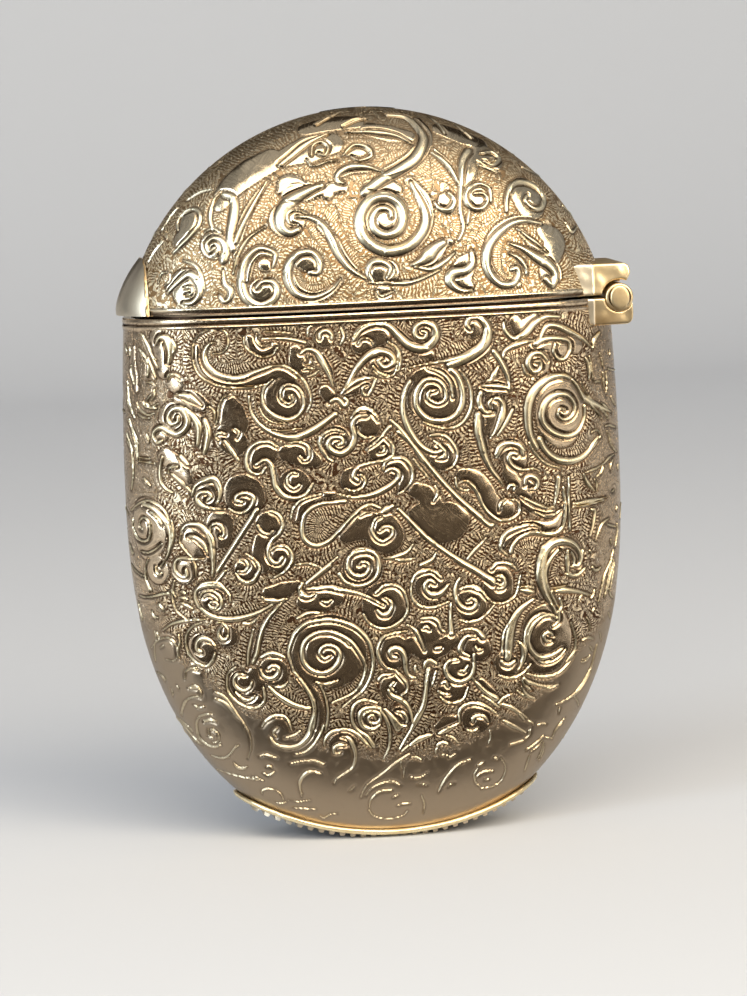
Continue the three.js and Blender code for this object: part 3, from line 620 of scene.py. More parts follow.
.1 .14 .08 | 870,375 940,370 990,400 1010,450 1040,470
.08 .12 .06 | 885,440 905,430 930,450
.04 .12 .12 .04 | 770,415 830,460 870,540 895,600
.06 .12 .2 | 1145,460 1200,445 1260,460 1310,510
.06 .16 .2 .06 | 1250,500 1190,500 1150,560 1150,610 1210,640
.1 .12 .08 | 1250,570 1265,595 1295,590
.12 .16 .12 | 970,585 990,582 1010,575
.06 .18 .14 .1 | 1130,660 1070,670 1040,720 1060,780 1120,815 1190,800 1235,740 1240,620
.1 .12 .06 | 1140,740 1175,740 1195,700
.06 .1 .06 | 1010,830 1035,815 1060,850
.08 .1 .06 | 990,880 1020,900 1070,905
.05 .12 .06 | 1000,920 1050,960 1120,960 1170,930 1200,850
.1 .08 .14 .06 | 770,465 720,470 650,485 600,510 565,590 580,660 620,715 690,735
.12 .2 .18 .15 .08 | 700,650 665,640 655,600 690,583 730,600 755,650 765,740 790,780 835,790
.06 .12 .05 | 830,700 830,740 850,750
.1 .16 .1 | 890,720 905,680 940,670 980,695
.15 .14 .12 .1 | 925,720 910,800 900,900 880,990 830,1080 800,1155
.08 .1 .05 | 975,740 960,800 940,850
.12 .12 .06 | 570,810 600,775 670,760
.08 .1 .06 | 690,740 730,780 770,830 770,880 730,910
.08 .1 .08 | 680,815 655,850 680,880
.1 .18 .12 .08 | 640,870 660,910 720,940 770,980 800,1040 810,1100
@ body_low_right 5.77 -5.34 105
.18 .2 .2 | 0,90 80,130 160,180 240,240
.08 .14 .12 | 250,190 290,195 315,230 300,270 260,275
.08 .16 .08 .05 | 220,145 250,105 310,95 370,110 400,150
.05 .08 .05 | 240,375 300,378 360,350 400,300 425,180
.1 .14 .08 .05 | 0,280 60,262 110,265 150,290 190,340 240,380
.05 .07 .06 | 240,390 200,440 150,490
.3 .35 .32 .22 .1 | 600,-20 575,80 565,160 575,240 600,310 640,380 675,450
.1 .12 .08 | 690,0 640,60 605,130 600,200 620,270 660,350 700,430
.06 .12 .14 .06 | 700,340 715,400 690,440 690,500 650,540
.1 .12 .08 | 760,10 750,80 760,150
.05 .14 .06 | 740,170 790,185 840,170 880,130
.06 .1 .06 | 780,20 800,60 800,110
.1 .12 .06 | 860,0 850,70 820,115 780,120
.05 .09 .06 | 640,270 690,265 740,255
.06 .2 .12 .05 | 645,295 730,285 830,295 920,320
.06 .1 .06 | 430,260 475,262 520,268
.1 .2 .1 | 430,285 475,292 520,300
.06 .2 .28 .3 .25 | 525,345 460,390 410,440 375,500 355,580 345,660 340,740 330,770
.05 .07 .08 | 515,345 440,400 380,470 320,560 300,650 300,740
.1 .18 .1 | 290,780 310,805 350,808 385,780
.05 .12 .08 .05 | 270,880 330,900 390,895 450,860 500,800
.05 .2 .15 .05 | 400,640 440,680 450,740 430,810 400,850
.12 .12 .1 | 650,600 620,580 590,600 600,640 640,640
.08 .14 .16 .18 .1 | 690,490 640,460 580,470 520,520 485,590 480,660 510,720 560,755 620,750 680,720 720,690
.06 .1 .05 | 520,745 570,790 640,785 700,750 740,700
.1 .12 .08 | 600,450 550,460 500,500 465,570 455,650 470,720
.05 .12 .14 .05 | 810,690 790,750 740,820 680,870 600,890 520,885 470,870
.08 .16 .05 | 450,900 480,930 540,945
.06 .18 .05 | 580,960 630,970 690,945
.05 .12 .06 | 430,960 470,1020 525,1045
.06 .16 .14 .05 | 940,760 900,880 840,980 780,1030 680,1085
.05 .08 .05 | 860,640 890,620 930,625
.05 .14 .05 | 850,790 880,780 905,755
.05 .1 .05 | 975,360 1000,250 1020,170 1060,80
.05 .12 .05 | 1015,330 1040,250 1070,130 1080,60
.06 .08 .06 | 930,120 960,150 990,120
.08 .1 .05 | 960,660 930,780 910,850
.05 .14 .14 .26 | 85,890 110,930 170,990 240,1040 262,1048
.08 .12 .05 | 270,1080 310,1040 370,1010
.05 .12 .05 | 150,1020 210,1060 280,1110
.06 .14 .12 .05 | 0,1220 -5,1150 15,1110 60,1085 130,1080 200,1110 260,1150
.08 .1 .08 | 280,1085 330,1100 390,1130 450,1190
@ body_foot_left -16.3 -15.34 105
.05 .1 .05 | 480,130 520,110 570,105
.06 .16 .05 | 525,160 570,145 610,165
.08 .12 .08 | 565,215 590,212 605,230
.07 .1 .07 | 555,255 568,262 585,268
.05 .07 .12 .05 | 475,140 470,210 480,250 510,290 560,325 610,335 640,300
.05 .15 .05 | 325,125 390,190 450,260 500,310
.05 .08 .05 | 350,130 400,175 440,215
.04 .1 .04 | 600,405 650,410 700,405
.06 .15 .05 | 735,455 760,480 800,488 825,472
.04 .07 .04 | 770,320 730,350 715,380
.05 .12 .05 | 915,398 960,388 1035,410
.1 .12 .08 | 965,470 985,465 1000,480
.05 .1 .05 | 940,515 980,530 1020,505
.08 .12 .1 .06 | 930,190 960,150 1020,115 1080,120 1120,160 1140,220
.08 .12 .05 | 1035,205 1010,235 1030,265
.12 .2 .22 .16 .14 | 990,270 1020,310 1080,335 1150,335 1210,310 1260,250 1280,170 1300,90 1290,0
.05 .1 .1 .06 | 1160,385 1230,370 1290,320 1340,240 1365,180
.05 .1 .05 | 1090,270 1160,250 1200,220
.04 .06 .04 | 835,545 850,555 865,565
.04 .06 .04 | 860,540 875,550 890,560
.05 .07 .04 | 880,540 905,552 935,570
.05 .1 .05 | 930,660 930,640 970,625 1020,632
.04 .1 .04 | 1030,722 1060,728 1100,720
.05 .18 .08 .05 | 1345,520 1280,505 1230,530 1200,580 1195,630 1215,665
.05 .08 .08 | 1130,450 1200,435 1300,430 1365,455
.04 .08 .04 | 1150,760 1230,765 1305,770
@ body_foot_middle -5.17 -14.8 105
.1 .16 .18 .1 | 590,235 545,265 480,250 450,200 455,150 500,120 560,115 600,125
.06 .1 .08 | 560,200 540,170 510,180 515,215 560,225 590,200 585,160 540,140 490,150 470,180
.08 .12 .1 .14 | 570,85 500,65 440,75 400,120 395,200 430,270 500,320 550,390
.1 .2 .26 | 620,125 660,170 700,230 720,270
.1 .12 .1 | 780,245 730,240 690,190
.06 .12 .08 | 700,140 750,150 780,200 770,220
.1 .12 .1 .05 | 590,130 630,190 655,260 660,330 650,400 615,475
.14 .12 .1 .08 | 910,0 900,100 860,190 810,270 760,350 725,410
.05 .07 .05 | 740,425 765,400 790,380
.1 .22 .1 | 800,380 860,340 920,315 950,310
.05 .2 .1 | 1140,225 1080,260 1000,300
.06 .14 .1 .12 .05 | 200,390 205,340 250,290 320,270 380,275 440,310 480,350 530,400
.08 .14 .14 .06 | 315,430 275,435 268,400 300,378 355,378
.05 .15 .16 .12 .1 .05 | 320,315 370,330 400,380 418,450 400,530 350,570 290,610 270,640
.05 .12 .1 .06 .04 | 800,435 700,500 600,580 510,645 475,690 455,740
.04 .1 .06 | 490,730 530,680 600,645 670,630 730,655
.05 .1 .05 | 515,810 525,760 570,710 620,695 670,692
.05 .06 .05 | 510,830 540,870 600,890 680,890 750,870 780,840
.04 .06 .04 | 710,800 750,788 800,785
.05 .08 .05 | 680,740 700,732 715,725
.1 .18 .12 .05 | 165,580 130,565 80,570 40,610 25,650 40,740
.05 .07 .05 | 130,490 160,502 190,515
.05 .1 .04 | 805,465 840,462 885,482
.04 .08 .04 | 800,600 860,605 920,575
.08 .14 .05 | 990,385 1000,370 1040,360 1070,372
.04 .08 .05 | 1050,310 1100,325 1140,365
.05 .07 .05 | 1070,465 1095,452 1120,435
.08 .12 .1 .05 | 1000,700 1030,640 1080,570 1140,510 1225,475
.06 .12 .06 | 1265,600 1290,575 1330,560
.05 .08 .05 | 1270,520 1290,508 1310,500
@ body_foot_right 5.43 -13.6 105
.14 .12 .1 .05 | 125,340 130,310 170,295 210,305 235,340
.05 .1 .05 | 85,395 120,405 160,390
.05 .08 .04 | 245,400 250,450 230,500
.08 .1 .05 | 330,215 390,235 450,270 490,300
.06 .12 .05 | 345,330 420,370 500,415
.05 .08 .05 | 510,330 530,338 550,350
.05 .12 .05 | 530,385 520,430 490,460
.05 .08 .05 | 580,360 605,352 630,350
.04 .08 .04 | 620,440 560,500 505,535
.06 .14 .06 | 685,440 710,390 755,345
.08 .1 .08 | 160,645 175,638 190,632
.06 .14 .05 | 160,715 200,690 265,680
.08 .14 .08 | 275,590 288,594 300,600
.05 .07 .05 | 205,745 222,742 240,742
.05 .08 .05 .04 | 185,805 250,795 310,765 350,700 350,640 320,590
@ body_foot_finer_left -14.9 -11.4 75
.04 .08 .05 | 335,645 400,668 480,688 565,702
.04 .07 .04 | 415,370 470,420 500,480 505,540 490,590
.04 .06 .04 | 1000,752 1012,742 1020,732
.04 .06 .04 | 850,880 870,890 900,872 935,868
.04 .07 .04 | 630,750 655,770 665,795
.04 .06 .04 | 690,800 740,808 800,800
@ body_foot_finer_right -.23 -11.4 75
.04 .06 .04 | 158,600 154,622 160,642
.04 .06 .04 | 172,640 170,660 168,682
.04 .06 .04 | 240,720 260,718 282,724
.04 .06 .04 | 390,730 405,718 422,714
.04 .08 .05 | 540,640 522,670 530,710 557,738
.04 .08 .05 | 328,570 332,548 342,528
.04 .06 .04 | 358,572 378,574 398,578
.05 .08 .05 | 735,250 770,275 825,290
.05 .09 .05 | 765,190 800,210 860,228 940,225
.04 .07 .04 | 845,600 865,560 872,520
.04 .07 .04 | 800,560 838,530 862,500
.04 .06 .04 | 700,520 740,508 770,500
.04 .06 .04 | 930,560 950,520 975,470
.04 .06 .04 | 268,865 272,820 258,775
"""

LOBES = """
@ shoulder_left -17.57 11.26 135
.15 .3 .35 .1 | 215,420 200,560 215,700 240,820
.5 .55 .4 | 420,330 470,480 480,640
.5 .55 .5 | 570,720 590,740 600,760
.5 .6 .4 | 640,870 760,900 840,940
.95 .95 | 570,1060 576,1066
.5 .5 | 440,1200 446,1210
.4 .5 .5 | 720,1060 820,1120 850,1280
.5 .85 .85 | 1070,920 1090,1020 1120,1100
.9 .8 | 1080,1230 1120,1280
@ shoulder_middle -8.9 11.26 135
.22 .24 .24 .24 .26 .3 .34 .34 .25 | -395,420 -390,560 -330,660 -210,735 -60,748 100,722 250,690 350,650 480,700
1.25 1.25 | 400,890 406,892
.3 .42 .3 | 80,350 140,440 230,465 305,420
.35 .5 .3 | 500,450 515,540 580,620
.1 .28 .1 | 745,480 790,600 840,740
.6 .6 | 750,320 756,330
.3 .45 .25 | 970,815 1060,765 1150,765
.45 .75 .6 | 1070,410 1140,320 1260,310
.75 .75 | 1285,565 1290,570
.9 .9 | 1125,1110 1131,1112
.95 .95 | 860,1270 866,1274
.75 .75 | 220,1360 226,1366
.7 .7 | 540,1350 546,1356
.4 .4 | 770,820 800,850
@ shoulder_right 1.1 11.26 105
1.6 1.6 | 290,650 296,652
.2 .3 .35 .3 | -50,130 60,235 160,325 280,380
.6 .6 | 230,220 236,224
.6 .6 | 580,180 586,186
.3 .3 .35 .3 | 700,220 670,340 560,410 420,430
.35 .45 .35 | 650,630 730,605 820,615
1.5 1.7 1.5 | 1190,690 1200,770 1195,850
.55 .6 .3 | 720,700 740,800 700,920
.75 .75 | 1035,430 1041,434
.7 .7 | 1185,335 1191,339
.4 .5 .4 | 880,150 920,200 1010,140
.4 .5 .5 | 1010,330 1080,300 1300,310
.85 .85 | 850,1060 860,1066
.3 .35 .3 | 640,780 630,900 660,1030
@ flank_left -17.57 1.93 105
.5 .6 .4 | 1000,170 1010,90 1100,85
.2 .25 .2 | 1110,150 1150,230 1165,320
.95 .95 | 1290,310 1295,314
.5 .7 .4 | 1235,90 1340,100 1440,140
.75 .75 | 1700,275 1706,281
.85 .85 | 665,380 670,384
1.15 1.15 | 930,370 950,385
.85 .75 | 770,590 765,670
.8 .8 | 1110,590 1114,594
.45 .5 .5 | 1060,700 1050,790 1070,870
.85 .85 | 1180,820 1186,824
.72 .72 | 955,905 960,911
.15 .25 .25 .15 | 1310,560 1355,455 1450,390 1570,372
.5 .85 .9 | 1660,660 1760,600 1880,610
1.2 1.2 | 1765,890 1771,892
.3 .5 .3 | 1100,1060 1200,1050 1310,1010
1.1 1.4 1.1 | 250,530 265,620 270,710
.8 .8 | 330,900 334,910
.7 .8 .4 | 560,690 620,750 690,800
.8 .8 | 515,905 520,910
.85 .85 | 695,1085 700,1090
.5 .6 .4 | 390,110 470,180 540,270
@ flank_right -0.23 1.93 105
.8 .8 | 75,60 79,64
.5 .55 .5 .25 | 150,190 225,190 255,270 225,345
.5 .6 .5 | 330,350 400,385 450,430
.9 1.25 1.2 .6 | 370,540 440,570 540,570 630,540
.8 .8 | 510,110 520,120
.4 .5 .5 .5 .5 .5 | 650,240 730,260 800,330 850,420 900,480 960,470
.8 .8 | 1000,110 1010,130
.4 .45 .5 | 970,220 1010,290 1080,370
.6 .6 | 1130,290 1136,296
.25 .35 .4 .35 .3 .25 | 935,730 985,650 1100,605 1240,605 1330,560 1365,460
.3 .4 .42 .42 .4 .25 | 1200,1080 1215,920 1265,790 1370,710 1455,770 1465,880
.95 .95 | 425,1015 430,1020
.95 .9 | 895,985 900,1040
1.15 1.1 | 90,640 110,660
.85 .85 | 120,1080 126,1084
.3 .4 .2 | 1080,430 1180,490 1280,500
@ low_left -17.57 -8.07 105
.65 .65 | 815,310 820,320
.85 .85 | 640,400 650,415
.85 .85 | 400,390 410,400
.5 .55 .75 | 590,560 600,650 600,740
.95 .95 | 700,980 706,986
.1 .22 .2 | 1190,100 1070,260 1010,450
.85 .85 | 1140,565 1146,569
.4 .45 | 1010,580 1040,660
.8 .8 | 920,650 926,660
.5 .5 | 980,760 1010,770
2.2 2.2 | 1530,425 1536,429
.35 .35 .33 .3 .25 | 1330,620 1430,740 1470,880 1435,1010 1330,1100
.85 .85 | 1175,985 1181,989
.8 .8 | 1810,885 1816,889
.85 .85 | 1630,1085 1636,1089
.45 .7 .5 | 1360,80 1480,65 1580,50
@ low_right -0.23 -8.07 105
1.35 1.35 | 105,95 111,99
.95 .95 | 705,95 711,99
.75 .75 | 405,290 411,296
1.0 1.0 | 160,425 166,429
.5 .6 .55 .4 | 290,380 390,420 490,400 580,340
.8 .8 | 750,400 754,404
.85 .85 | 635,560 640,564
.85 .85 | 170,680 176,684
.12 .2 .12 | 420,560 400,700 350,850
.85 .85 | 575,695 581,699
.9 .9 | 745,900 750,904
.2 .4 .2 | 470,955 540,915 610,895
.65 .75 | 940,500 970,530
1.5 1.7 1.5 | 1235,270 1240,340 1235,420
.45 .45 | 200,860 240,900
.25 .3 .1 | 780,640 850,710 900,760
@ lid_west -16.9 24.6 105
1.0 1.0 | 1165,835 1172,841
.5 .6 .3 | 1190,650 1300,635 1420,640
.15 .4 .3 .1 | 1115,640 1160,565 1240,560 1300,590
.12 .26 .28 .2 .1 | 810,1150 830,960 880,810 950,680 1040,560
.5 .6 .45 | 480,810 470,890 420,980
.8 .8 | 655,1010 659,1014
.3 .4 .35 .2 | 880,1240 900,1120 975,1050 1060,1070
.35 .35 | 1010,1150 1016,1156
.7 .7 | 990,1330 996,1336
.25 .35 .32 .15 | 1185,1220 1235,1325 1340,1380 1460,1345 1540,1270
.7 .6 | 1300,1110 1320,1130
.85 .85 | 465,1345 471,1351
.3 .4 .3 | 350,1310 430,1230 530,1220
.5 .8 .9 .8 | 700,720 760,620 900,500 1050,420
.6 .9 .7 | 1150,400 1320,340 1480,300
.25 .45 .25 | 1600,365 1670,345 1740,335
.3 .35 .3 | 1530,510 1620,475 1740,470
.5 .6 .5 | 1300,200 1480,160 1650,150
.3 .4 .3 | 1450,660 1480,620 1560,610
.2 .3 .3 .2 | 1400,880 1500,990 1560,1100 1660,1210
@ lid_east -0.9 24.6 105
.25 .33 .36 .34 .3 .25 | 340,560 440,660 475,790 440,930 340,1035 200,1070
1.25 1.25 | 165,810 171,816
.3 .42 .48 .42 .3 | 190,500 340,425 445,320 455,220 400,140
.08 .22 .08 | 520,340 620,450 690,580
.25 .5 .45 .3 | 745,590 765,480 805,380 840,320
.8 .8 | 905,400 915,410
.55 .55 | 610,705 612,707
.72 .72 | 815,680 818,684
1.1 1.0 | 1165,650 1190,720
.18 .26 .28 .28 .28 .27 .18 | 1200,820 1060,845 945,925 890,1060 915,1195 1000,1285 1110,1285
.5 .8 .6 | 1290,920 1360,980 1350,1080
.75 .75 | 1335,1200 1340,1204
.2 .5 .4 .15 | 400,1150 510,1090 570,1010 640,985
.2 .6 .7 .4 | 780,1080 730,1170 700,1250 750,1300
.6 .7 | 130,1190 190,1200
.5 .5 | 165,1350 167,1352
.3 .5 .3 | 60,590 170,590 260,620
.5 .6 .5 | 560,200 700,250 840,300
.5 .6 .4 | 60,200 200,230 340,250
.2 .3 .1 | 1130,920 1200,990 1290,1060
"""


def read_sheets(text):
    """The strokes of a drawing: sheet name, half widths and points in millimetres on the view's plane."""
    strokes = []
    for line in text.strip().splitlines():
        if line.startswith("@"):
            _, name, right, up, units = line.split()
            corner, units = np.array([float(right), float(up)]), float(units)
            continue
        widths, points = line.removeprefix("+").split("|") if "|" in line else ("", line.removeprefix("+"))
        points = np.array([[float(n) for n in pair.split(",")] for pair in points.split()])
        points = corner + points * [1, -1] / units
        if line.startswith("+"):
            strokes[-1][2] = np.vstack([strokes[-1][2], points])
        else:
            strokes.append([name, [float(w) for w in widths.split()], points])
    return strokes


def smoothstep(low, high, value):
    share = np.clip((value - low) / (high - low), 0, 1)
    return share * share * (3 - 2 * share)


def half_width(z):
    """Half the body's width at a height, seen from the front."""
    most, mouth = BODY_WIDTH / 2, MOUTH_WIDTH / 2
    loss = 1 - (BASE_WIDTH / BODY_WIDTH) ** 2
    reach = (WIDEST_HEIGHT - BASE_END) / loss ** (1 / OUTLINE_ROUNDNESS)
    fall = (np.clip(WIDEST_HEIGHT - z, 0, None) / reach) ** OUTLINE_ROUNDNESS
    low = most * np.sqrt(np.clip(1 - fall, 0, 1))
    rise = (z - WIDEST_HEIGHT) / (SEAM_HEIGHT - WIDEST_HEIGHT)
    return np.where(z >= WIDEST_HEIGHT, most - (most - mouth) * rise**2, low)


def half_depth(z):
    """Half the body's thickness on the centre line at a height."""
    most, mouth = BODY_DEPTH / 2, MOUTH_DEPTH / 2
    loss = 1 - (BASE_DEPTH / BODY_DEPTH) ** 2
    reach = (FLAT_LOW - BASE_RISE) / loss ** (1 / DEPTH_ROUNDNESS)
    low = most * np.sqrt(np.clip(1 - (np.clip(FLAT_LOW - z, 0, None) / reach) ** DEPTH_ROUNDNESS, 0, 1))
    rise = np.clip(z - FLAT_HIGH, 0, None) / (SEAM_HEIGHT - FLAT_HIGH)
    return np.where(z >= FLAT_LOW, most - (most - mouth) * rise**2, low)


def body_level(share, inset):
    """Half width, half depth, height of the ends and sag of the middle at a share of the way up."""
    end = BASE_END + (SEAM_HEIGHT - BASE_END) * share
    sag = BASE_SAG * (1 - share) ** 2
    return half_width(end) - inset, half_depth(end - sag) - inset, end, sag


def lid_start(inset):
    return np.arcsin(LID_DROP / (LID_RADIUS - inset))


def lid_level(rise, inset):
    """The same for the lid, at a height above its foot."""
    lean = np.arcsin(np.clip((rise + LID_DROP) / (LID_RADIUS - inset), -1, 1))
    width = (LID_RADIUS - inset) * np.cos(lean)
    depth = (MOUTH_DEPTH / 2 - inset) * np.cos(lean) / np.cos(lid_start(inset))
    return width, depth, LID_FOOT + rise, 0 * rise


def oval_table():
    """Shares of the way round half the oval, with the matching shares of its half width and depth."""
    angle = np.linspace(0, math.pi, 8001)
    cosine = np.cos(angle)
    x = np.sign(cosine) * np.abs(cosine) ** (2 / SIDE_ROUNDNESS)
    y = np.sin(angle)
    step = np.hypot(np.diff(x) * BODY_WIDTH / 2, np.diff(y) * BODY_DEPTH / 2)
    length = np.concatenate([[0], np.cumsum(step)])
    return length / length[-1], x, y, length[-1]


OVAL_SHARE, OVAL_X, OVAL_Y, OVAL_LENGTH = oval_table()


def columns(depth, notch_count, rest_count):
    """Oval shares of the columns of one row.

    The notch's side falls on a column where the depth is that of the notch.
    """
    half = len(OVAL_Y) // 2
    notch = np.interp(NOTCH_HALF / depth, OVAL_Y[:half], OVAL_SHARE[:half])
    share = np.concatenate([
        np.linspace(0, notch, notch_count + 1),
        np.linspace(notch, 1, rest_count + 1)[1:],
    ])
    x = np.interp(share, OVAL_SHARE, OVAL_X)
    return x, np.sqrt(np.clip(1 - np.abs(x) ** SIDE_ROUNDNESS, 0, 1))


def wall_grid(level_at, rows, counts, side, inset, notch_rows):
    """Points of a wall: one row of the oval for each level. Past the notch its column keeps its place."""
    grid = []
    for row in rows:
        width, depth, end, sag = level_at(row, inset)
        _, notch_depth, _, _ = level_at(np.clip(row, *notch_rows), inset)
        x, y = columns(notch_depth, *counts)
        y = np.maximum(depth * y, HALF_SEAM)
        grid.append(np.stack([width * x, side * y, end - sag * (1 - x * x)], -1))
    return np.array(grid)


def grid_normals(points, outward):
    """Outward directions of a grid of points."""
    along = np.gradient(points, axis=1)
    up = np.gradient(points, axis=0)
    normal = np.cross(along, up)
    normal /= np.maximum(np.linalg.norm(normal, axis=-1, keepdims=True), 1e-12)
    facing = np.sign(np.sum(normal * outward, -1, keepdims=True))
    return normal * np.where(facing == 0, 1, facing)


def front_depth(x, z, on_lid):
    """How far the smooth wall stands forward of the middle at a place seen from the front."""
    if on_lid:
        width, depth, _, _ = lid_level(np.clip(z - LID_FOOT, 0, LID_HEIGHT - 1e-6), 0)
    else:
        end = z
        for _ in range(12):
            share = np.clip((end - BASE_END) / (SEAM_HEIGHT - BASE_END), 0, 1)
            width, depth, _, sag = body_level(share, 0)
            end = z + sag * (1 - np.clip(x / width, -1, 1) ** 2)
    return depth * np.sqrt(np.clip(1 - np.abs(x / np.maximum(width, 1e-6)) ** SIDE_ROUNDNESS, 0, 1))


def onto_wall(drawn, on_lid):
    """Lays points of the drawing onto the front wall, along the camera's lines of sight."""
    target = view_point + view_forward * DRAWING_DEPTH + drawn[:, :1] * view_right + drawn[:, 1:] * view_up
    ray = target - view_point
    y = np.full(len(drawn), -BODY_DEPTH / 2)
    for _ in range(40):
        place = view_point + ray * ((y - view_point[1]) / ray[:, 1])[:, None]
        y = 0.5 * y - 0.5 * front_depth(place[:, 0], place[:, 2], on_lid)
    return view_point + ray * ((y - view_point[1]) / ray[:, 1])[:, None]


def curve_through(points, values, step):
    """Evenly spaced points of a smooth curve through the given ones, with values spread along it."""
    ends = np.vstack([2 * points[0] - points[1], points, 2 * points[-1] - points[-2]])
    fine = []
    for a, b, c, d in zip(ends, ends[1:], ends[2:], ends[3:]):
        t = np.linspace(0, 1, 12, endpoint=False)[:, None]
        bend = 2 * a - 5 * b + 4 * c - d
        twist = 3 * b - a - 3 * c + d
        fine.append(0.5 * (2 * b + (c - a) * t + bend * t**2 + twist * t**3))
    fine = np.vstack([*fine, points[-1:]])
    length = np.concatenate([[0], np.cumsum(np.linalg.norm(np.diff(fine, axis=0), axis=1))])
    count = max(2, int(length[-1] / step) + 1)
    at = np.linspace(0, length[-1], count)
    even = np.stack([np.interp(at, length, column) for column in fine.T], -1)
    widths = np.interp(at / length[-1], np.linspace(0, 1, len(values)), values)
    return even, widths


def rounded_ends(widths, step):
    """Brings the half width to nothing over a short way at both ends."""
    way = np.arange(len(widths)) * step
    from_end = np.minimum(way, way[::-1]) + 0.02
    return np.minimum(widths, np.sqrt(2 * widths * from_end))


def foot_share(points):
    """How far a place lies on the plain foot, between 0 and 1."""
    top = points[..., 2] - PLAIN_FOOT_CURVE * points[..., 0] ** 2
    top += PLAIN_FOOT_UNEVEN * unevenness(points, 5.0, 3)
    return smoothstep(PLAIN_FOOT_HIGH, PLAIN_FOOT_LOW, top) * (points[..., 2] < SEAM_HEIGHT)


def laid_strokes(text, tapered):
    """The drawing's strokes as curves in space, with half widths."""
    laid = []
    for name, values, points in read_sheets(text):
        drawn, widths = curve_through(points, values, STROKE_STEP)
        curve = onto_wall(drawn, name.startswith("lid"))
        if tapered:
            widths = STROKE_FULLNESS * widths * (1 - FOOT_STROKE_THINNING * foot_share(curve))
            laid.append((curve, rounded_ends(widths, STROKE_STEP)))
        else:
            laid.append((curve, LOBE_FULLNESS * widths))
    return laid


def turned(strokes):
    """The same strokes on the other face, turned half round."""
    return [(curve * [-1, -1, 1], widths) for curve, widths in strokes]
# How much of the grooves' tarnish and painted shade stays on the plain foot


def segments_of(strokes):
    """All short pieces of the strokes in one list: ends, half widths there and the way along."""
    parts = []
    offset = 0.0
    for curve, widths in strokes:
        way = offset + STROKE_STEP * np.arange(len(curve) - 1)
        parts.append(np.column_stack([curve[:-1], curve[1:], widths[:-1], widths[1:], way]))
        offset = way[-1] + 0.5
    return np.vstack(parts)


def nearest_on_strokes(grid, segments):
    """For each point: the ridge height there, the way to the nearest stroke's edge and along it."""
    shape = grid.shape[:2]
    height, cover = np.zeros(shape), np.zeros(shape)
    along = 1.3 * grid[..., 2] + 0.4 * grid[..., 0]
    edge = REACH + np.abs(grid[..., 0] - 0.3 * grid[..., 2]) + np.abs(grid[..., 1])
    reach = REACH + segments[:, 6:8].max(1, keepdims=True)
    low = np.minimum(segments[:, :3], segments[:, 3:6]) - reach
    high = np.maximum(segments[:, :3], segments[:, 3:6]) + reach
    for row in range(0, shape[0], TILE):
        for column in range(0, shape[1], TILE):
            part = (slice(row, row + TILE), slice(column, column + TILE))
            points = grid[part].reshape(-1, 3)
            near = np.all((low < points.max(0)) & (high > points.min(0)), axis=1)
            if not near.any():
                continue
            a, b = segments[near, :3], segments[near, 3:6]
            across = b - a
            square = np.maximum((across**2).sum(-1), 1e-12)
            dot = points @ across.T - (a * across).sum(-1)
            t = np.clip(dot / square, 0, 1)
            gap = (points**2).sum(-1)[:, None] + (a**2).sum(-1) - 2 * points @ a.T
            gap = np.sqrt(np.clip(gap - 2 * t * dot + t * t * square, 0, None))
            width = segments[near, 6] + t * (segments[near, 7] - segments[near, 6])
            width = np.maximum(width, 1e-4)
            inside = np.clip(1 - (gap / width) ** 2, 0, 1)
            rise = (RIDGE_BASE_HEIGHT + RIDGE_HEIGHT_SHARE * width) * np.clip(width / 0.06, 0, 1)
            tile = grid[part].shape[:2]
            height[part] = (rise * inside).max(1).reshape(tile)
            cover[part] = inside.max(1).reshape(tile)
            gap -= width
            best = (np.arange(len(points)), np.argmin(gap, axis=1))
            nearest = gap[best]
            ways = segments[near, 8] + STROKE_STEP * t
            share = np.exp((nearest[:, None] - gap) / WAY_BLEND)
            share *= np.abs(ways - ways[best][:, None]) < WAY_REACH
            way = (share * ways).sum(1) / share.sum(1)
            found = (nearest < REACH).reshape(tile)
            edge[part] = np.where(found, nearest.reshape(tile), edge[part])
            along[part] = np.where(found, way.reshape(tile), along[part])
    return height, edge, along, cover


def closeness(along, points):
    """How often the strokes of the matting are doubled where they fan out round a curl."""
    way = np.linalg.norm(np.diff(points, axis=1), axis=-1)
    across = np.abs(np.diff(along, axis=1)) / np.maximum(way, 1e-6)
    way = np.linalg.norm(np.diff(points, axis=0), axis=-1)
    up = np.abs(np.diff(along, axis=0)) / np.maximum(way, 1e-6)
    slope = np.hypot(np.pad(across, ((0, 0), (0, 1)), "edge"), np.pad(up, ((0, 1), (0, 0)), "edge"))
    slope = np.clip(slope, 0.05, 1.2)
    for _ in range(3):
        for axis in (0, 1):
            slope = (np.roll(slope, 1, axis) + slope + np.roll(slope, -1, axis)) / 3
    return np.clip(np.round(-np.log2(slope)), 0, 2)


def unevenness(points, size, seed):
    """Smooth seeded unevenness between about -1 and 1."""
    random = np.random.default_rng(seed)
    total = np.zeros(points.shape[:-1])
    for _ in range(12):
        direction = random.normal(size=3)
        direction *= 2 * math.pi / size / np.linalg.norm(direction) * random.uniform(0.6, 1.5)
        total += np.sin(points @ direction + random.uniform(0, 2 * math.pi))
    return total / 4


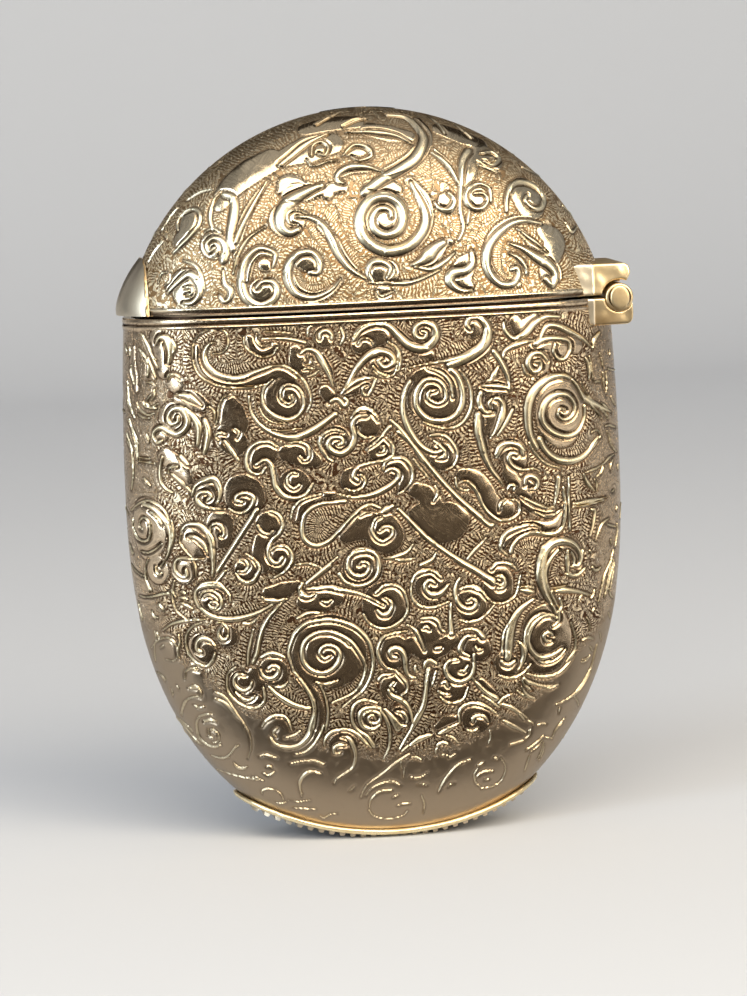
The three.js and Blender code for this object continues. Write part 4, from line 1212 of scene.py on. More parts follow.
def chased(points, normals, ridges, lobes, border):
    """Moves a wall's points by the relief, and gives the masks that its material uses."""
    height, edge, along, cover = nearest_on_strokes(points, ridges)
    _, lobe_edge, _, lobe_cover = nearest_on_strokes(points, lobes)
    lobe = smoothstep(0.03, -0.06, lobe_edge)
    low = foot_share(points)
    channel = np.exp(-((np.clip(edge, 0, None) / CHANNEL_WIDTH) ** 2))
    rim = np.exp(-(((lobe_edge - 0.05) / 0.07) ** 2)) * (1 - low)
    beside = smoothstep(*PLAIN_SIDES, np.abs(points[..., 0]) + 0.5 * unevenness(points, 4.0, 5))
    beside *= points[..., 2] < SEAM_HEIGHT
    smooth = np.maximum(np.maximum(lobe, np.maximum(low, 0.8 * beside)), smoothstep(0.09, 0.03, edge))
    ground = (1 - smooth) * border
    relief = height - CHANNEL_DEPTH * channel * (1 - cover)
    relief += (LOBE_RISE + LOBE_WAVES * unevenness(points, 1.2, 11)) * lobe_cover * (1 - channel)
    relief -= GROUND_DROP * (1 - np.maximum(lobe, low))
    relief *= border
    moved = points + normals * relief[..., None]
    along *= 2.0 ** closeness(along, points)
    # Tarnish with painted shade in the grooves beside the scrolls and just outside the lobes, weaker on the foot
    grime = np.maximum(channel, 0.9 * rim) * (1 - cover) * border * (1 - (1 - FOOT_TARNISH_AND_SHADE) * low)
    masks = {
        "ground": ground, "ridge": cover * border, "along": along,
        "away": edge, "grime": grime, "foot": low,
    }
    return moved, {key: value.reshape(-1) for key, value in masks.items()}


def border_shape(z, edge, lines, start, towards):
    """The lines along a mouth: how much of the relief shows, the lines' height, and tarnish with painted shade in the
    grooves.
    """
    shown = smoothstep(0, 0.08, towards * (z - start))
    height, grime = np.zeros_like(z), np.zeros_like(z)
    for place, half, rise in lines:
        share = np.clip(1 - ((z - edge - place) / half) ** 2, 0, 1)
        height += rise * np.sqrt(share) if rise > 0 else rise * share
        grime += np.sqrt(share) if rise < 0 else 0
    return shown, height, np.clip(grime, 0, 1)


def shell_mesh(name, level_at, rows, counts, side, inner_rows, notch_from, notch_to, strokes, lobes, border):
    """A thin wall with the relief on its outer face, its hinge notch left out, closed by edge faces.

    The inner face takes every eighth row and column of the outer one."""
    notch_rows = (rows[notch_from], rows[notch_to])
    outer = wall_grid(level_at, rows, counts, side, 0, notch_rows)
    inner = wall_grid(level_at, inner_rows, counts, side, WALL, notch_rows)[:, ::INSIDE_FACTOR]
    outward = np.array([0.0, side, 0.0]) + outer * [1 / 17, 0, 0]
    normals = grid_normals(outer, outward)
    shown, edging, grime = border(outer[..., 2])
    relieved, masks = chased(outer, normals, strokes, lobes, shown)
    relieved += normals * edging[..., None]
    masks["grime"] = np.maximum(masks["grime"], grime.reshape(-1))
    relieved[..., 1] = side * np.maximum(side * relieved[..., 1], HALF_SEAM)
    count_rows, count_columns = relieved.shape[:2]
    inner_count = inner.shape[1]
    points = np.vstack([relieved.reshape(-1, 3), inner.reshape(-1, 3)])
    start = count_rows * count_columns

    def kept(rows_count, columns_count, factor):
        row = np.arange(rows_count - 1)[:, None]
        column = np.arange(columns_count - 1)[None, :]
        notch_rows = (row >= notch_from // factor) & (row < notch_to // factor)
        return ~(notch_rows & (column < counts[0] // factor))

    def faces(rows_count, columns_count, first, factor):
        row, column = np.nonzero(kept(rows_count, columns_count, factor))
        corner = first + row * columns_count + column
        return np.stack([corner, corner + 1, corner + 1 + columns_count, corner + columns_count], -1)

    quads = [
        faces(count_rows, count_columns, 0, 1),
        faces(inner.shape[0], inner_count, start, INSIDE_FACTOR)[:, ::-1],
    ]
    coarse = kept(inner.shape[0], inner_count, INSIDE_FACTOR)
    edges = []
    padded = np.pad(coarse, 1)
    for (row_step, column_step), (p, q) in {
        (-1, 0): ((0, 0), (0, 1)),
        (1, 0): ((1, 1), (1, 0)),
        (0, -1): ((1, 0), (0, 0)),
        (0, 1): ((0, 1), (1, 1)),
    }.items():
        rolled = np.roll(padded, (-row_step, -column_step), (0, 1))[1:-1, 1:-1]
        for row, column in zip(*np.nonzero(coarse & ~rolled)):
            edges.append(((row + p[0], column + p[1]), (row + q[0], column + q[1])))
    triangles = []
    for (r0, c0), (r1, c1) in edges:
        steps = INSIDE_FACTOR
        fine = []
        for k in range(steps + 1):
            row = r0 * steps + (r1 - r0) * k
            column = c0 * steps + (c1 - c0) * k
            fine.append(row * count_columns + column)
        a = start + r0 * inner_count + c0
        b = start + r1 * inner_count + c1
        half = steps // 2
        for k in range(steps):
            triangles.append((fine[k + 1], fine[k], a if k < half else b))
        triangles.append((b, fine[half], a))
    triangles = np.array(triangles)
    values = {key: np.concatenate([mask, np.zeros(len(points) - start)]) for key, mask in masks.items()}
    inside = np.concatenate([np.zeros(start), np.ones(len(points) - start)])
    values["inside"] = inside
    return mesh_from(name, points, [np.vstack(quads), triangles], values)


def signed_volume(points, face_sets):
    """Below zero where the faces look inwards."""
    total = 0.0
    for faces in face_sets:
        for k in range(1, faces.shape[1] - 1):
            a, b, c = (points[faces[:, corner]] for corner in (0, k, k + 1))
            total += np.sum(a * np.cross(b, c)) / 6
    return total


def mesh_from(name, points, face_sets, values):
    """A mesh object with its faces, its masks and smooth shading. Points that meet become one."""
    if signed_volume(points, face_sets) < 0:
        face_sets = [faces[:, ::-1] for faces in face_sets]
    keys = np.round(points / 2e-5).astype(np.int64)
    _, first, same = np.unique(keys, axis=0, return_index=True, return_inverse=True)
    same = same.reshape(-1)
    points = points[first]
    values = {key: value[first] for key, value in values.items()}
    corners, starts, total = [], [], 0
    for faces in face_sets:
        faces = same[faces]
        sides = faces.shape[1]
        if sides == 4:
            whole = (faces[:, 0] != faces[:, 1]) & (faces[:, 2] != faces[:, 3])
            whole &= (faces[:, 1] != faces[:, 2]) & (faces[:, 3] != faces[:, 0])
            for face in faces[~whole]:
                kept_corners = [c for c, after in zip(face, np.roll(face, -1)) if c != after]
                if len(kept_corners) > 2:
                    corners.append(np.array(kept_corners))
                    starts.append(np.array([total]))
                    total += len(kept_corners)
            faces = faces[whole]
        else:
            whole = (faces[:, 0] != faces[:, 1]) & (faces[:, 1] != faces[:, 2]) & (faces[:, 2] != faces[:, 0])
            faces = faces[whole]
        corners.append(faces.reshape(-1))
        starts.append(total + np.arange(len(faces)) * sides)
        total += faces.size
    corners = np.concatenate(corners).astype(np.int32)
    starts = np.concatenate(starts).astype(np.int32)
    mesh = bpy.data.meshes.new(name)
    mesh.vertices.add(len(points))
    mesh.vertices.foreach_set("co", (points * MM).astype(np.float32).reshape(-1))
    mesh.loops.add(len(corners))
    mesh.loops.foreach_set("vertex_index", corners)
    mesh.polygons.add(len(starts))
    mesh.polygons.foreach_set("loop_start", starts)
    mesh.update(calc_edges=True)
    mesh.validate()
    for key, value in values.items():
        mesh.attributes.new(key, "FLOAT", "POINT").data.foreach_set("value", value.astype(np.float32))
    mesh.shade_smooth()
    mesh.set_sharp_from_angle(angle=math.radians(50))
    piece = bpy.data.objects.new(name, mesh)
    bpy.context.scene.collection.objects.link(piece)
    return piece


def body_shell(name, side, step, strokes, lobes):
    """One half of the case's body."""
    rows_below = INSIDE_FACTOR * max(4, round((NOTCH_FOOT - BASE_END) / step / INSIDE_FACTOR))
    rows_above = INSIDE_FACTOR * max(1, round((SEAM_HEIGHT - NOTCH_FOOT) / step / INSIDE_FACTOR))
    notch_share = (NOTCH_FOOT - BASE_END) / (SEAM_HEIGHT - BASE_END)
    rows = np.concatenate([
        np.linspace(0, notch_share, rows_below + 1),
        np.linspace(notch_share, 1, rows_above + 1)[1:],
    ])
    notch_count = INSIDE_FACTOR * max(1, round(NOTCH_HALF * 1.15 / step / INSIDE_FACTOR))
    rest_count = INSIDE_FACTOR * round((OVAL_LENGTH - NOTCH_HALF) / step / INSIDE_FACTOR)

    def border(z):
        return border_shape(z, SEAM_HEIGHT, BODY_EDGING, SEAM_HEIGHT - BODY_ORNAMENT_START, -1)

    return shell_mesh(
        name, body_level, rows, (notch_count, rest_count), side, rows[::INSIDE_FACTOR],
        rows_below, rows_below + rows_above, strokes, lobes, border,
    )


def lid_shell(name, side, step, strokes, lobes):
    """One half of the domed lid."""
    notch_rise = NOTCH_TOP - LID_FOOT
    rows_below = INSIDE_FACTOR * max(1, round(notch_rise / step / INSIDE_FACTOR))
    arc = LID_RADIUS * (math.pi / 2 - float(lid_start(0)))
    rows_above = INSIDE_FACTOR * round((arc - notch_rise) / step / INSIDE_FACTOR)
    first_lean = math.asin((notch_rise + LID_DROP) / LID_RADIUS)
    lean = np.linspace(first_lean, math.pi / 2, rows_above + 1)[1:]
    rises = np.concatenate([
        np.linspace(0, notch_rise, rows_below + 1),
        LID_RADIUS * np.sin(lean) - LID_DROP,
    ])
    inner_first = math.asin((notch_rise + LID_DROP) / (LID_RADIUS - WALL))
    inner_lean = np.linspace(inner_first, math.pi / 2, rows_above // INSIDE_FACTOR + 1)[1:]
    inner_rises = np.concatenate([
        np.linspace(0, notch_rise, rows_below // INSIDE_FACTOR + 1),
        (LID_RADIUS - WALL) * np.sin(inner_lean) - LID_DROP,
    ])
    notch_count = INSIDE_FACTOR * max(1, round(NOTCH_HALF * 1.15 / step / INSIDE_FACTOR))
    rest_count = INSIDE_FACTOR * round((OVAL_LENGTH - NOTCH_HALF) / step / INSIDE_FACTOR)

    def border(z):
        return border_shape(z, LID_FOOT, LID_EDGING, LID_FOOT + LID_ORNAMENT_START, 1)

    return shell_mesh(
        name, lid_level, rises, (notch_count, rest_count), side, inner_rises,
        0, rows_below, strokes, lobes, border,
    )


ridges = laid_strokes(RIDGES, True)
lobes = laid_strokes(LOBES, False)
all_ridges = segments_of(ridges + turned(ridges))
all_lobes = segments_of(lobes + turned(lobes))

shells = {
    "body_front": body_shell("chased_body_front", -1, FRONT_STEP, all_ridges, all_lobes),
    "body_back": body_shell("chased_body_back", 1, BACK_STEP, all_ridges, all_lobes),
    "lid_front": lid_shell("chased_lid_front", -1, FRONT_STEP, all_ridges, all_lobes),
    "lid_back": lid_shell("chased_lid_back", 1, BACK_STEP, all_ridges, all_lobes),
}
for key, piece in shells.items():
    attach(piece, "case" if key.startswith("body") else "lid")
    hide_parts(key + "_shell")


def grid_faces(first, rows, count, backwards=False):
    """Quads of a grid of points that starts at a vertex number."""
    row, column = np.mgrid[0 : rows - 1, 0 : count - 1]
    corner = first + (row * count + column).reshape(-1)
    quads = np.stack([corner, corner + 1, corner + 1 + count, corner + count], -1)
    return quads[:, ::-1] if backwards else quads


def slab(outer, inner, closed=False):
    """Points and quads of a curved slab between two grids. A closed one meets itself at its last column."""
    rows, count = outer.shape[:2]
    points = np.vstack([outer.reshape(-1, 3), inner.reshape(-1, 3)])
    start = rows * count
    quads = [grid_faces(0, rows, count), grid_faces(start, rows, count, True)]
    low = np.arange(count - 1)
    top = (rows - 1) * count + low
    quads.append(np.stack([low + 1, low, start + low, start + low + 1], -1))
    quads.append(np.stack([top, top + 1, start + top + 1, start + top], -1))
    if not closed:
        left = np.arange(rows - 1) * count
        right = left + count - 1
        quads.append(np.stack([left, left + count, start + left + count, start + left], -1))
        quads.append(np.stack([right + count, right, start + right, start + right + count], -1))
    return points, np.vstack(quads)


def slab_piece(name, outer, inner, closed=False, values=None):
    points, quads = slab(outer, inner, closed)
    masks = {
        key: np.concatenate([value.reshape(-1), 0 * value.reshape(-1)])
        for key, value in (values or {}).items()
    }
    return mesh_from(name, points, [quads], masks)


def stands_for(piece, body, node_name):
    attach(piece, body)
    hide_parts(node_name)
    return piece


# The thumb lip, with its uneven soldered seam
THUMB_HEIGHT = 3.7
THUMB_TOP_REACH = 0.137
THUMB_PROUD = 0.8
THUMB_EDGE = 0.1
THUMB_FADE = 0.75
THUMB_UNDERCUT = 0.25


def lid_surface(lean_share, angle, inset):
    """A point of the lid at a share of the way up its arc, moved in by an inset."""
    start = lid_start(inset)
    lean = start + (math.pi / 2 - start) * lean_share
    cosine = np.cos(angle)
    x = (LID_RADIUS - inset) * np.cos(lean) * np.sign(cosine) * np.abs(cosine) ** (2 / SIDE_ROUNDNESS)
    y = (MOUTH_DEPTH / 2 - inset) * np.cos(lean) / np.cos(start) * np.sin(angle)
    return np.stack([x, y, LID_FOOT + (LID_RADIUS - inset) * np.sin(lean) - LID_DROP], -1)


def thumb_lip():
    share = np.linspace(0, 1, 90)[:, None]
    across = np.sin(np.linspace(-math.pi / 2, math.pi / 2, 101))[None, :]
    first = float(lid_start(0))
    last = math.asin((THUMB_HEIGHT + LID_DROP) / LID_RADIUS)
    span = (last - first) / (math.pi / 2 - first)
    cut = LID_RADIUS * math.cos(last) - THUMB_TOP_REACH
    width = LID_RADIUS * np.cos(first + (last - first) * share)
    spread = np.arccos((cut / width) ** (SIDE_ROUNDNESS / 2))
    swell = THUMB_PROUD * (1 - THUMB_FADE * share**2) * (1 - THUMB_UNDERCUT * (1 - share) ** 8)
    proud = THUMB_EDGE + (swell - THUMB_EDGE) * (1 - across**2)
    solder = smoothstep(0.95, 0.985, np.abs(across)) + 0 * share
    flat = lid_surface(span * share + 0 * across, math.pi + spread * across, 0)
    bead = 0.07 + 0.06 * unevenness(flat, 0.7, 4)
    proud = proud + solder * bead
    outer = lid_surface(span * share, math.pi + spread * across, -proud)
    inner = lid_surface(span * share, math.pi + spread * across, -SOLDER_GAP + 0 * proud)
    return slab_piece("thumb_lip", outer, inner, values={"solder": solder})


stands_for(thumb_lip(), "lid", "thumb_piece")

# The base: a rounded rim, worn uneven, and the ribbed striker inside it
RIM_HEIGHT = 0.42
RIM_PROUD = 0.3
RIM_WIDTH = 0.85
RIB_HEIGHT = 0.32
RIB_PITCH = 0.7
RIB_CREST = 0.24
RIB_FOOT = 0.52
STRIKER_THICKNESS = 0.3


def foot_at(x):
    return BASE_RISE + BASE_SAG * (x / (BASE_WIDTH / 2)) ** 2


def rim_bead():
    angle = np.linspace(0, 2 * math.pi, 361)[None, :]
    turn = np.linspace(-math.pi / 2, math.pi / 2, 13)[:, None]
    middle = (SOLDER_GAP + RIM_HEIGHT) / 2
    half = (RIM_HEIGHT - SOLDER_GAP) / 2
    cosine = np.cos(angle)

    def ring(proud, drop):
        x = (BASE_WIDTH / 2 + proud) * np.sign(cosine) * np.abs(cosine) ** (2 / SIDE_ROUNDNESS)
        y = (BASE_DEPTH / 2 + proud) * np.sin(angle)
        return np.stack([x, y + 0 * drop, foot_at(x) - drop], -1)

    drop = middle + half * np.sin(turn)
    proud = RIM_PROUD - half * (1 - np.cos(turn))
    outer = ring(proud, drop)
    wear = 0.02 * unevenness(outer, 2.2, 9) + 0.012 * unevenness(outer, 0.7, 10)
    wear -= wear.mean(axis=1, keepdims=True)
    wear[:, -1] = wear[:, 0]
    outer = ring(proud + wear * np.cos(turn), drop)
    inner = ring(RIM_PROUD - RIM_WIDTH + 0 * turn, drop)
    return slab_piece("rim_bead", outer, inner, closed=True)


def ribbed_striker():
    half_wide = BASE_WIDTH / 2 + RIM_PROUD - RIM_WIDTH - SOLDER_GAP
    half_deep = BASE_DEPTH / 2 + RIM_PROUD - RIM_WIDTH - SOLDER_GAP
    x = np.linspace(-half_wide, half_wide, 441)[None, :] * 0.9999
    y = np.linspace(-1, 1, 25)[:, None] * half_deep * np.sqrt(1 - np.abs(x / half_wide) ** SIDE_ROUNDNESS)
    beside = (x / RIB_PITCH + 0.5) % 1 - 0.5
    rise = RIB_HEIGHT * smoothstep(RIB_FOOT / 2, RIB_CREST / 2, np.abs(beside) * RIB_PITCH)
    slope = np.arctan(2 * BASE_SAG * x / (BASE_WIDTH / 2) ** 2)
    foot = foot_at(x) - RIM_HEIGHT
    shift = np.clip(x + np.sin(slope) * rise, -half_wide, half_wide)
    ribs = np.stack([shift + 0 * y, y, np.maximum(foot - np.cos(slope) * rise, 0) + 0 * y], -1)
    plate = np.stack([x + 0 * y, y, foot + STRIKER_THICKNESS + 0 * y], -1)
    # The second tone: painted shade between the ribs
    groove = (1 - rise / RIB_HEIGHT) + 0 * y
    return slab_piece("ribbed_striker", ribs, plate, values={"solder": 0.6 * groove})


stands_for(rim_bead(), "case", "base_rim")
stands_for(ribbed_striker(), "case", "striker_plate")

# The gilt collar, with a softly rounded upper edge
COLLAR_WALL = 0.4
SLIDE_GAP = 0.06


def collar():
    z = np.concatenate([
        np.linspace(collar_low[2], LID_FOOT, 30),
        np.linspace(LID_FOOT, collar_high[2], 24)[1:],
    ])[:, None]
    body_wide, body_deep = half_width(np.minimum(z, SEAM_HEIGHT)), half_depth(np.minimum(z, SEAM_HEIGHT))
    inner_rise = np.maximum(z - LID_FOOT, 0)
    lean = np.arcsin((inner_rise + LID_DROP) / (LID_RADIUS - WALL))
    lid_wide = (LID_RADIUS - WALL) * np.cos(lean)
    lid_deep = (MOUTH_DEPTH / 2 - WALL) * np.cos(lean) / np.cos(lid_start(WALL))
    wide = np.minimum(body_wide - WALL, lid_wide) - SLIDE_GAP
    deep = np.minimum(body_deep - WALL, lid_deep) - SLIDE_GAP
    mouth_deep = min(MOUTH_DEPTH / 2 - WALL, float(lid_deep[0, 0])) - SLIDE_GAP
    start = math.asin((hinge_half + COLLAR_WALL) / mouth_deep)
    angle = np.linspace(start, 2 * math.pi - start, 321)[None, :]
    cosine = np.cos(angle)
    x, y = np.sign(cosine) * np.abs(cosine) ** (2 / SIDE_ROUNDNESS), np.sin(angle)
    soft = 0.13 * (1 - np.sqrt(1 - np.clip((z - collar_high[2]) / 0.13 + 1, 0, 1) ** 2))
    outer = np.stack([(wide - soft) * x, (deep - soft) * y, z + 0 * x], -1)
    inner = np.stack([(wide - COLLAR_WALL + soft) * x, (deep - COLLAR_WALL + soft) * y, z + 0 * x], -1)
    # Painted shade on the collar's outer face, where it shows in the gap between body and lid
    painted_shade = smoothstep(SEAM_HEIGHT - 0.5, SEAM_HEIGHT - 0.1, z)
    painted_shade = painted_shade * smoothstep(LID_FOOT + 0.5, LID_FOOT + 0.1, z)
    return slab_piece("gilt_collar", outer, inner, values={"solder": painted_shade + 0 * x})


# Radius inside which the knuckles' end faces carry painted shade
SHADE_RADIUS = 0.77
hinge_half = leaf_high[1]
stands_for(collar(), "case", "mouth_collar")

# The hinge: three knuckles on a pin, capped by two oval plugs, between two cast leaves
KNUCKLE_RADIUS = 0.95
SOLDER_REACH = 15.0
LID_KNUCKLE_HALF = 1.12
PIN_RADIUS = 0.4
BEARING_GAP = 0.05


def turned_ring(name, radius, bore, low, high):
    """A tube on the hinge's axis with softened outer corners and painted shade round its bore."""
    angle = np.linspace(0, 2 * math.pi, 73)[None, :]
    soft = 0.1
    steps = np.array([
        (0, SHADE_RADIUS - 0.01),
        (0, SHADE_RADIUS + 0.02),
        (0, radius - soft),
        (0.3 * soft, radius - 0.3 * soft),
        (soft, radius),
    ])
    along = np.concatenate([low + steps[:, 0], high - steps[::-1, 0]])[:, None]
    out = np.concatenate([steps[:, 1], steps[::-1, 1]])[:, None]

    def ring(size):
        return np.stack([
            hinge_x + size * np.cos(angle),
            along + 0 * angle,
            hinge_z + size * np.sin(angle),
        ], -1)

    outer, inner = ring(out), ring(bore + 0 * out)
    points, quads = slab(outer, inner, closed=True)
    # Painted shade on the end faces near the bore and all through the bore
    shade_outside = (out < SHADE_RADIUS) + 0.0 * angle
    shade_inside = np.ones(inner.shape[0] * inner.shape[1])
    painted_shade = np.concatenate([shade_outside.reshape(-1), shade_inside])
    return mesh_from(name, points, [quads], {"solder": painted_shade})


def plug(name, side):
    """An oval cap with a low crown."""
    angle = np.linspace(0, 2 * math.pi, 73)[None, :]
    size = np.array([1, 1, 0.985, 0.94, 0.86, 0.7, 0.4, 0.0])[:, None]
    rise = np.array([0, 0.1, 0.15, 0.185, 0.2, 0.21, 0.218, 0.22])[:, None]
    base = hinge_half + SOLDER_GAP
    outer = np.stack([
        hinge_x + 0.66 * size * np.cos(angle),
        side * (base + rise) + 0 * angle,
        hinge_z + 0.82 * size * np.sin(angle),
    ], -1)
    flat = 0 * outer[..., 0]
    inner = np.stack([hinge_x + flat, side * base + flat, hinge_z + flat], -1)
    inner[0] = outer[0]
    points, quads = slab(outer, inner, closed=True)
    return mesh_from(name, points, [quads], {})


def softened(name, node_name, voxel, rounds, shaped):
    """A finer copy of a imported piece, with its corners rounded as on a worn casting."""
    mesh = frame["nodes"][node_name].data.copy()
    mesh.transform(Matrix.Scale(1 / MM, 4))
    rough = bpy.data.objects.new("rough", mesh)
    bpy.context.scene.collection.objects.link(rough)
    weld = rough.modifiers.new("weld", "WELD")
    weld.merge_threshold = 0.0005
    remesh = rough.modifiers.new("remesh", "REMESH")
    remesh.mode = "VOXEL"
    remesh.voxel_size = voxel
    smooth = rough.modifiers.new("smooth", "SMOOTH")
    smooth.factor = 0.5
    smooth.iterations = rounds
    bpy.context.view_layer.update()
    seen = rough.evaluated_get(bpy.context.evaluated_depsgraph_get())
    result = bpy.data.meshes.new_from_object(seen)
    bpy.data.objects.remove(rough)
    bpy.data.meshes.remove(mesh)
    result.name = name
    points = np.zeros(len(result.vertices) * 3, np.float32)
    result.vertices.foreach_get("co", points)
    points = shaped(points.reshape(-1, 3).astype(float))
    result.vertices.foreach_set("co", (points * MM).astype(np.float32).reshape(-1))
    result.update()
    result.shade_smooth()
    piece = bpy.data.objects.new(name, result)
    bpy.context.scene.collection.objects.link(piece)
    return piece


def cast_shape(points):
    """The hand-finished unevenness of a leaf, strongest on its ends."""
    end = smoothstep(hinge_half - 0.35, hinge_half - 0.05, np.abs(points[:, 1]))
    waves = unevenness(points, 2.2, 21) + 0.3 * unevenness(points, 0.9, 22)
    moved = points.copy()
    slope = 0.16 * np.abs(points[:, 2] - hinge_z) + 0.09 * np.clip(hinge_x - points[:, 0], 0, None)
    facets = 0.012 * np.sin(2 * math.pi * points[:, 0] / 1.3 + waves)
    moved[:, 1] -= np.sign(points[:, 1]) * end * (0.04 + 0.025 * waves + facets + slope * 0.5)
    soldered = smoothstep(SOLDER_REACH + 0.06, SOLDER_REACH, points[:, 0])
    moved[:, 1] += np.sign(points[:, 1]) * end * 0.07 * soldered
    moved[:, 0] -= smoothstep(hinge_x + 0.5, hinge_x + 0.9, points[:, 0]) * (0.02 + 0.02 * waves)
    return moved


case_knuckle = LID_KNUCKLE_HALF + SLIDE_GAP
bore = PIN_RADIUS + BEARING_GAP
for name, body, low, high in (
    ("front_knuckle", "case", -hinge_half, -case_knuckle),
    ("lid_knuckle", "lid", -LID_KNUCKLE_HALF, LID_KNUCKLE_HALF),
    ("back_knuckle", "case", case_knuckle, hinge_half),
):
    piece = turned_ring("turned_" + name, KNUCKLE_RADIUS, bore, low, high)
    stands_for(piece, body, name)
stands_for(plug("oval_plug_front", -1), "case", "pin_plug_front")
stands_for(plug("oval_plug_back", 1), "case", "pin_plug_back")
leaf_voxel = 0.055
leaf_rounds = 14
stands_for(
    softened("cast_leaf_lower", "lower_hinge_leaf", leaf_voxel, leaf_rounds, cast_shape),
    "case", "lower_hinge_leaf",
)
stands_for(
    softened("cast_leaf_upper", "upper_hinge_leaf", leaf_voxel, leaf_rounds, cast_shape),
    "lid", "upper_hinge_leaf",
)


def new_material(name):
    material = bpy.data.materials.new(name)
    material.use_nodes = True
    tree = material.node_tree
    return material, tree, tree.nodes["Principled BSDF"]


def node(tree, kind, **settings):
    made = tree.nodes.new(kind)
    for key, value in settings.items():
        setattr(made, key, value)
    return made


def link(tree, source, target):
    tree.links.new(source, target)


def maths(tree, operation, first, second=None, clamp=False):
    made = node(tree, "ShaderNodeMath", operation=operation, use_clamp=clamp)
    for socket, value in zip(made.inputs, (first, second)):
        if value is None:
            continue
        if isinstance(value, (int, float)):
            socket.default_value = value
        else:
            link(tree, value, socket)
    return made.outputs[0]


def mixed(tree, share, first, second):
    """A colour between two others."""
    made = node(tree, "ShaderNodeMix", data_type="RGBA")
    for socket, value in ((made.inputs[0], share), (made.inputs[6], first), (made.inputs[7], second)):
        if isinstance(value, (int, float)):
            socket.default_value = value
        elif isinstance(value, tuple):
            socket.default_value = (*value, 1)
        else:
            link(tree, value, socket)
    return made.outputs[2]


def noise(tree, scale, detail=3.0, roughness=0.5):
    place = node(tree, "ShaderNodeTexCoord")
    made = node(tree, "ShaderNodeTexNoise")
    made.inputs["Scale"].default_value = scale
    made.inputs["Detail"].default_value = detail
    made.inputs["Roughness"].default_value = roughness
    link(tree, place.outputs["Object"], made.inputs["Vector"])
    return made.outputs["Fac"]


def ranged(tree, value, low, high, to_low=0.0, to_high=1.0):
    made = node(tree, "ShaderNodeMapRange")
    link(tree, value, made.inputs["Value"])
    for key, number in (("From Min", low), ("From Max", high), ("To Min", to_low), ("To Max", to_high)):
        made.inputs[key].default_value = number
    return made.outputs["Result"]


def mask(tree, name):
    return node(tree, "ShaderNodeAttribute", attribute_name=name).outputs["Fac"]


GILDING = (0.84, 0.67, 0.36)
SOLDER_TONE = (1.0, 0.9, 0.72)
# Near-black tone: tarnish with painted shade in grooves, and painted shade round the knuckles' bores
TARNISH_AND_SHADE = (0.075, 0.04, 0.022)
FOOT_TONE = (0.36, 0.285, 0.205)

# The matting's strokes, in millimetres: their pitch, the height of a row and how far they lean over it
MATTING_PITCH = 0.22
MATTING_ROW = 0.36
MATTING_SLANT = 0.1
CREST_ROUGHNESS = 0.13
FOOT_ROUGHNESS = 0.24
# Painted shade on the lid's crown: the heights in millimetres where it starts and is fullest, and its tone
LID_TOP_SHADE_FROM = 40.0
LID_TOP_SHADE_TO = 48.5
TOP_SHADE_TONE = (0.28, 0.215, 0.14)


def hatching(tree, along, away):
    """Rows of short slanting strokes beside the scrolls, as the matting tool leaves them, from 0 to 1."""
    wander = ranged(tree, noise(tree, 1400, 2), 0.3, 0.7, -0.2, 0.2)
    away = maths(tree, "ADD", away, wander)
    row = maths(tree, "FLOOR", maths(tree, "DIVIDE", away, MATTING_ROW))
    across_row = maths(tree, "FRACT", maths(tree, "DIVIDE", away, MATTING_ROW))
    shift = maths(tree, "MULTIPLY", row, 0.37 * MATTING_PITCH)
    slant = maths(tree, "MULTIPLY", across_row, MATTING_SLANT)
    place = maths(tree, "ADD", maths(tree, "ADD", along, shift), slant)
    place = maths(tree, "ADD", place, ranged(tree, noise(tree, 3200, 2, 0.6), 0.3, 0.7, -0.07, 0.07))
    turn = maths(tree, "MULTIPLY", place, 2 * math.pi / MATTING_PITCH)
    stroke = ranged(tree, maths(tree, "SINE", turn), -0.15, 0.3)
    between = ranged(tree, maths(tree, "SINE", maths(tree, "MULTIPLY", across_row, math.pi)), 0.08, 0.35)
    # Random strength per stroke; in the colour it gives some strokes painted glints
    glint_strength = ranged(tree, noise(tree, 2300, 1), 0.36, 0.56, 0.7, 1.0)
    return maths(tree, "MULTIPLY", maths(tree, "MULTIPLY", stroke, between), glint_strength)


def burnishing(tree, along, away):
    """Fine streaks that run along the scrolls, where they were smoothed and rubbed."""
    place = node(tree, "ShaderNodeCombineXYZ")
    link(tree, maths(tree, "MULTIPLY", along, 0.9), place.inputs[0])
    link(tree, maths(tree, "MULTIPLY", away, 7.0), place.inputs[1])
    made = node(tree, "ShaderNodeTexNoise")
    made.inputs["Scale"].default_value = 1.0
    made.inputs["Detail"].default_value = 3.0
    made.inputs["Roughness"].default_value = 0.65
    link(tree, place.outputs[0], made.inputs["Vector"])
    return made.outputs["Fac"]


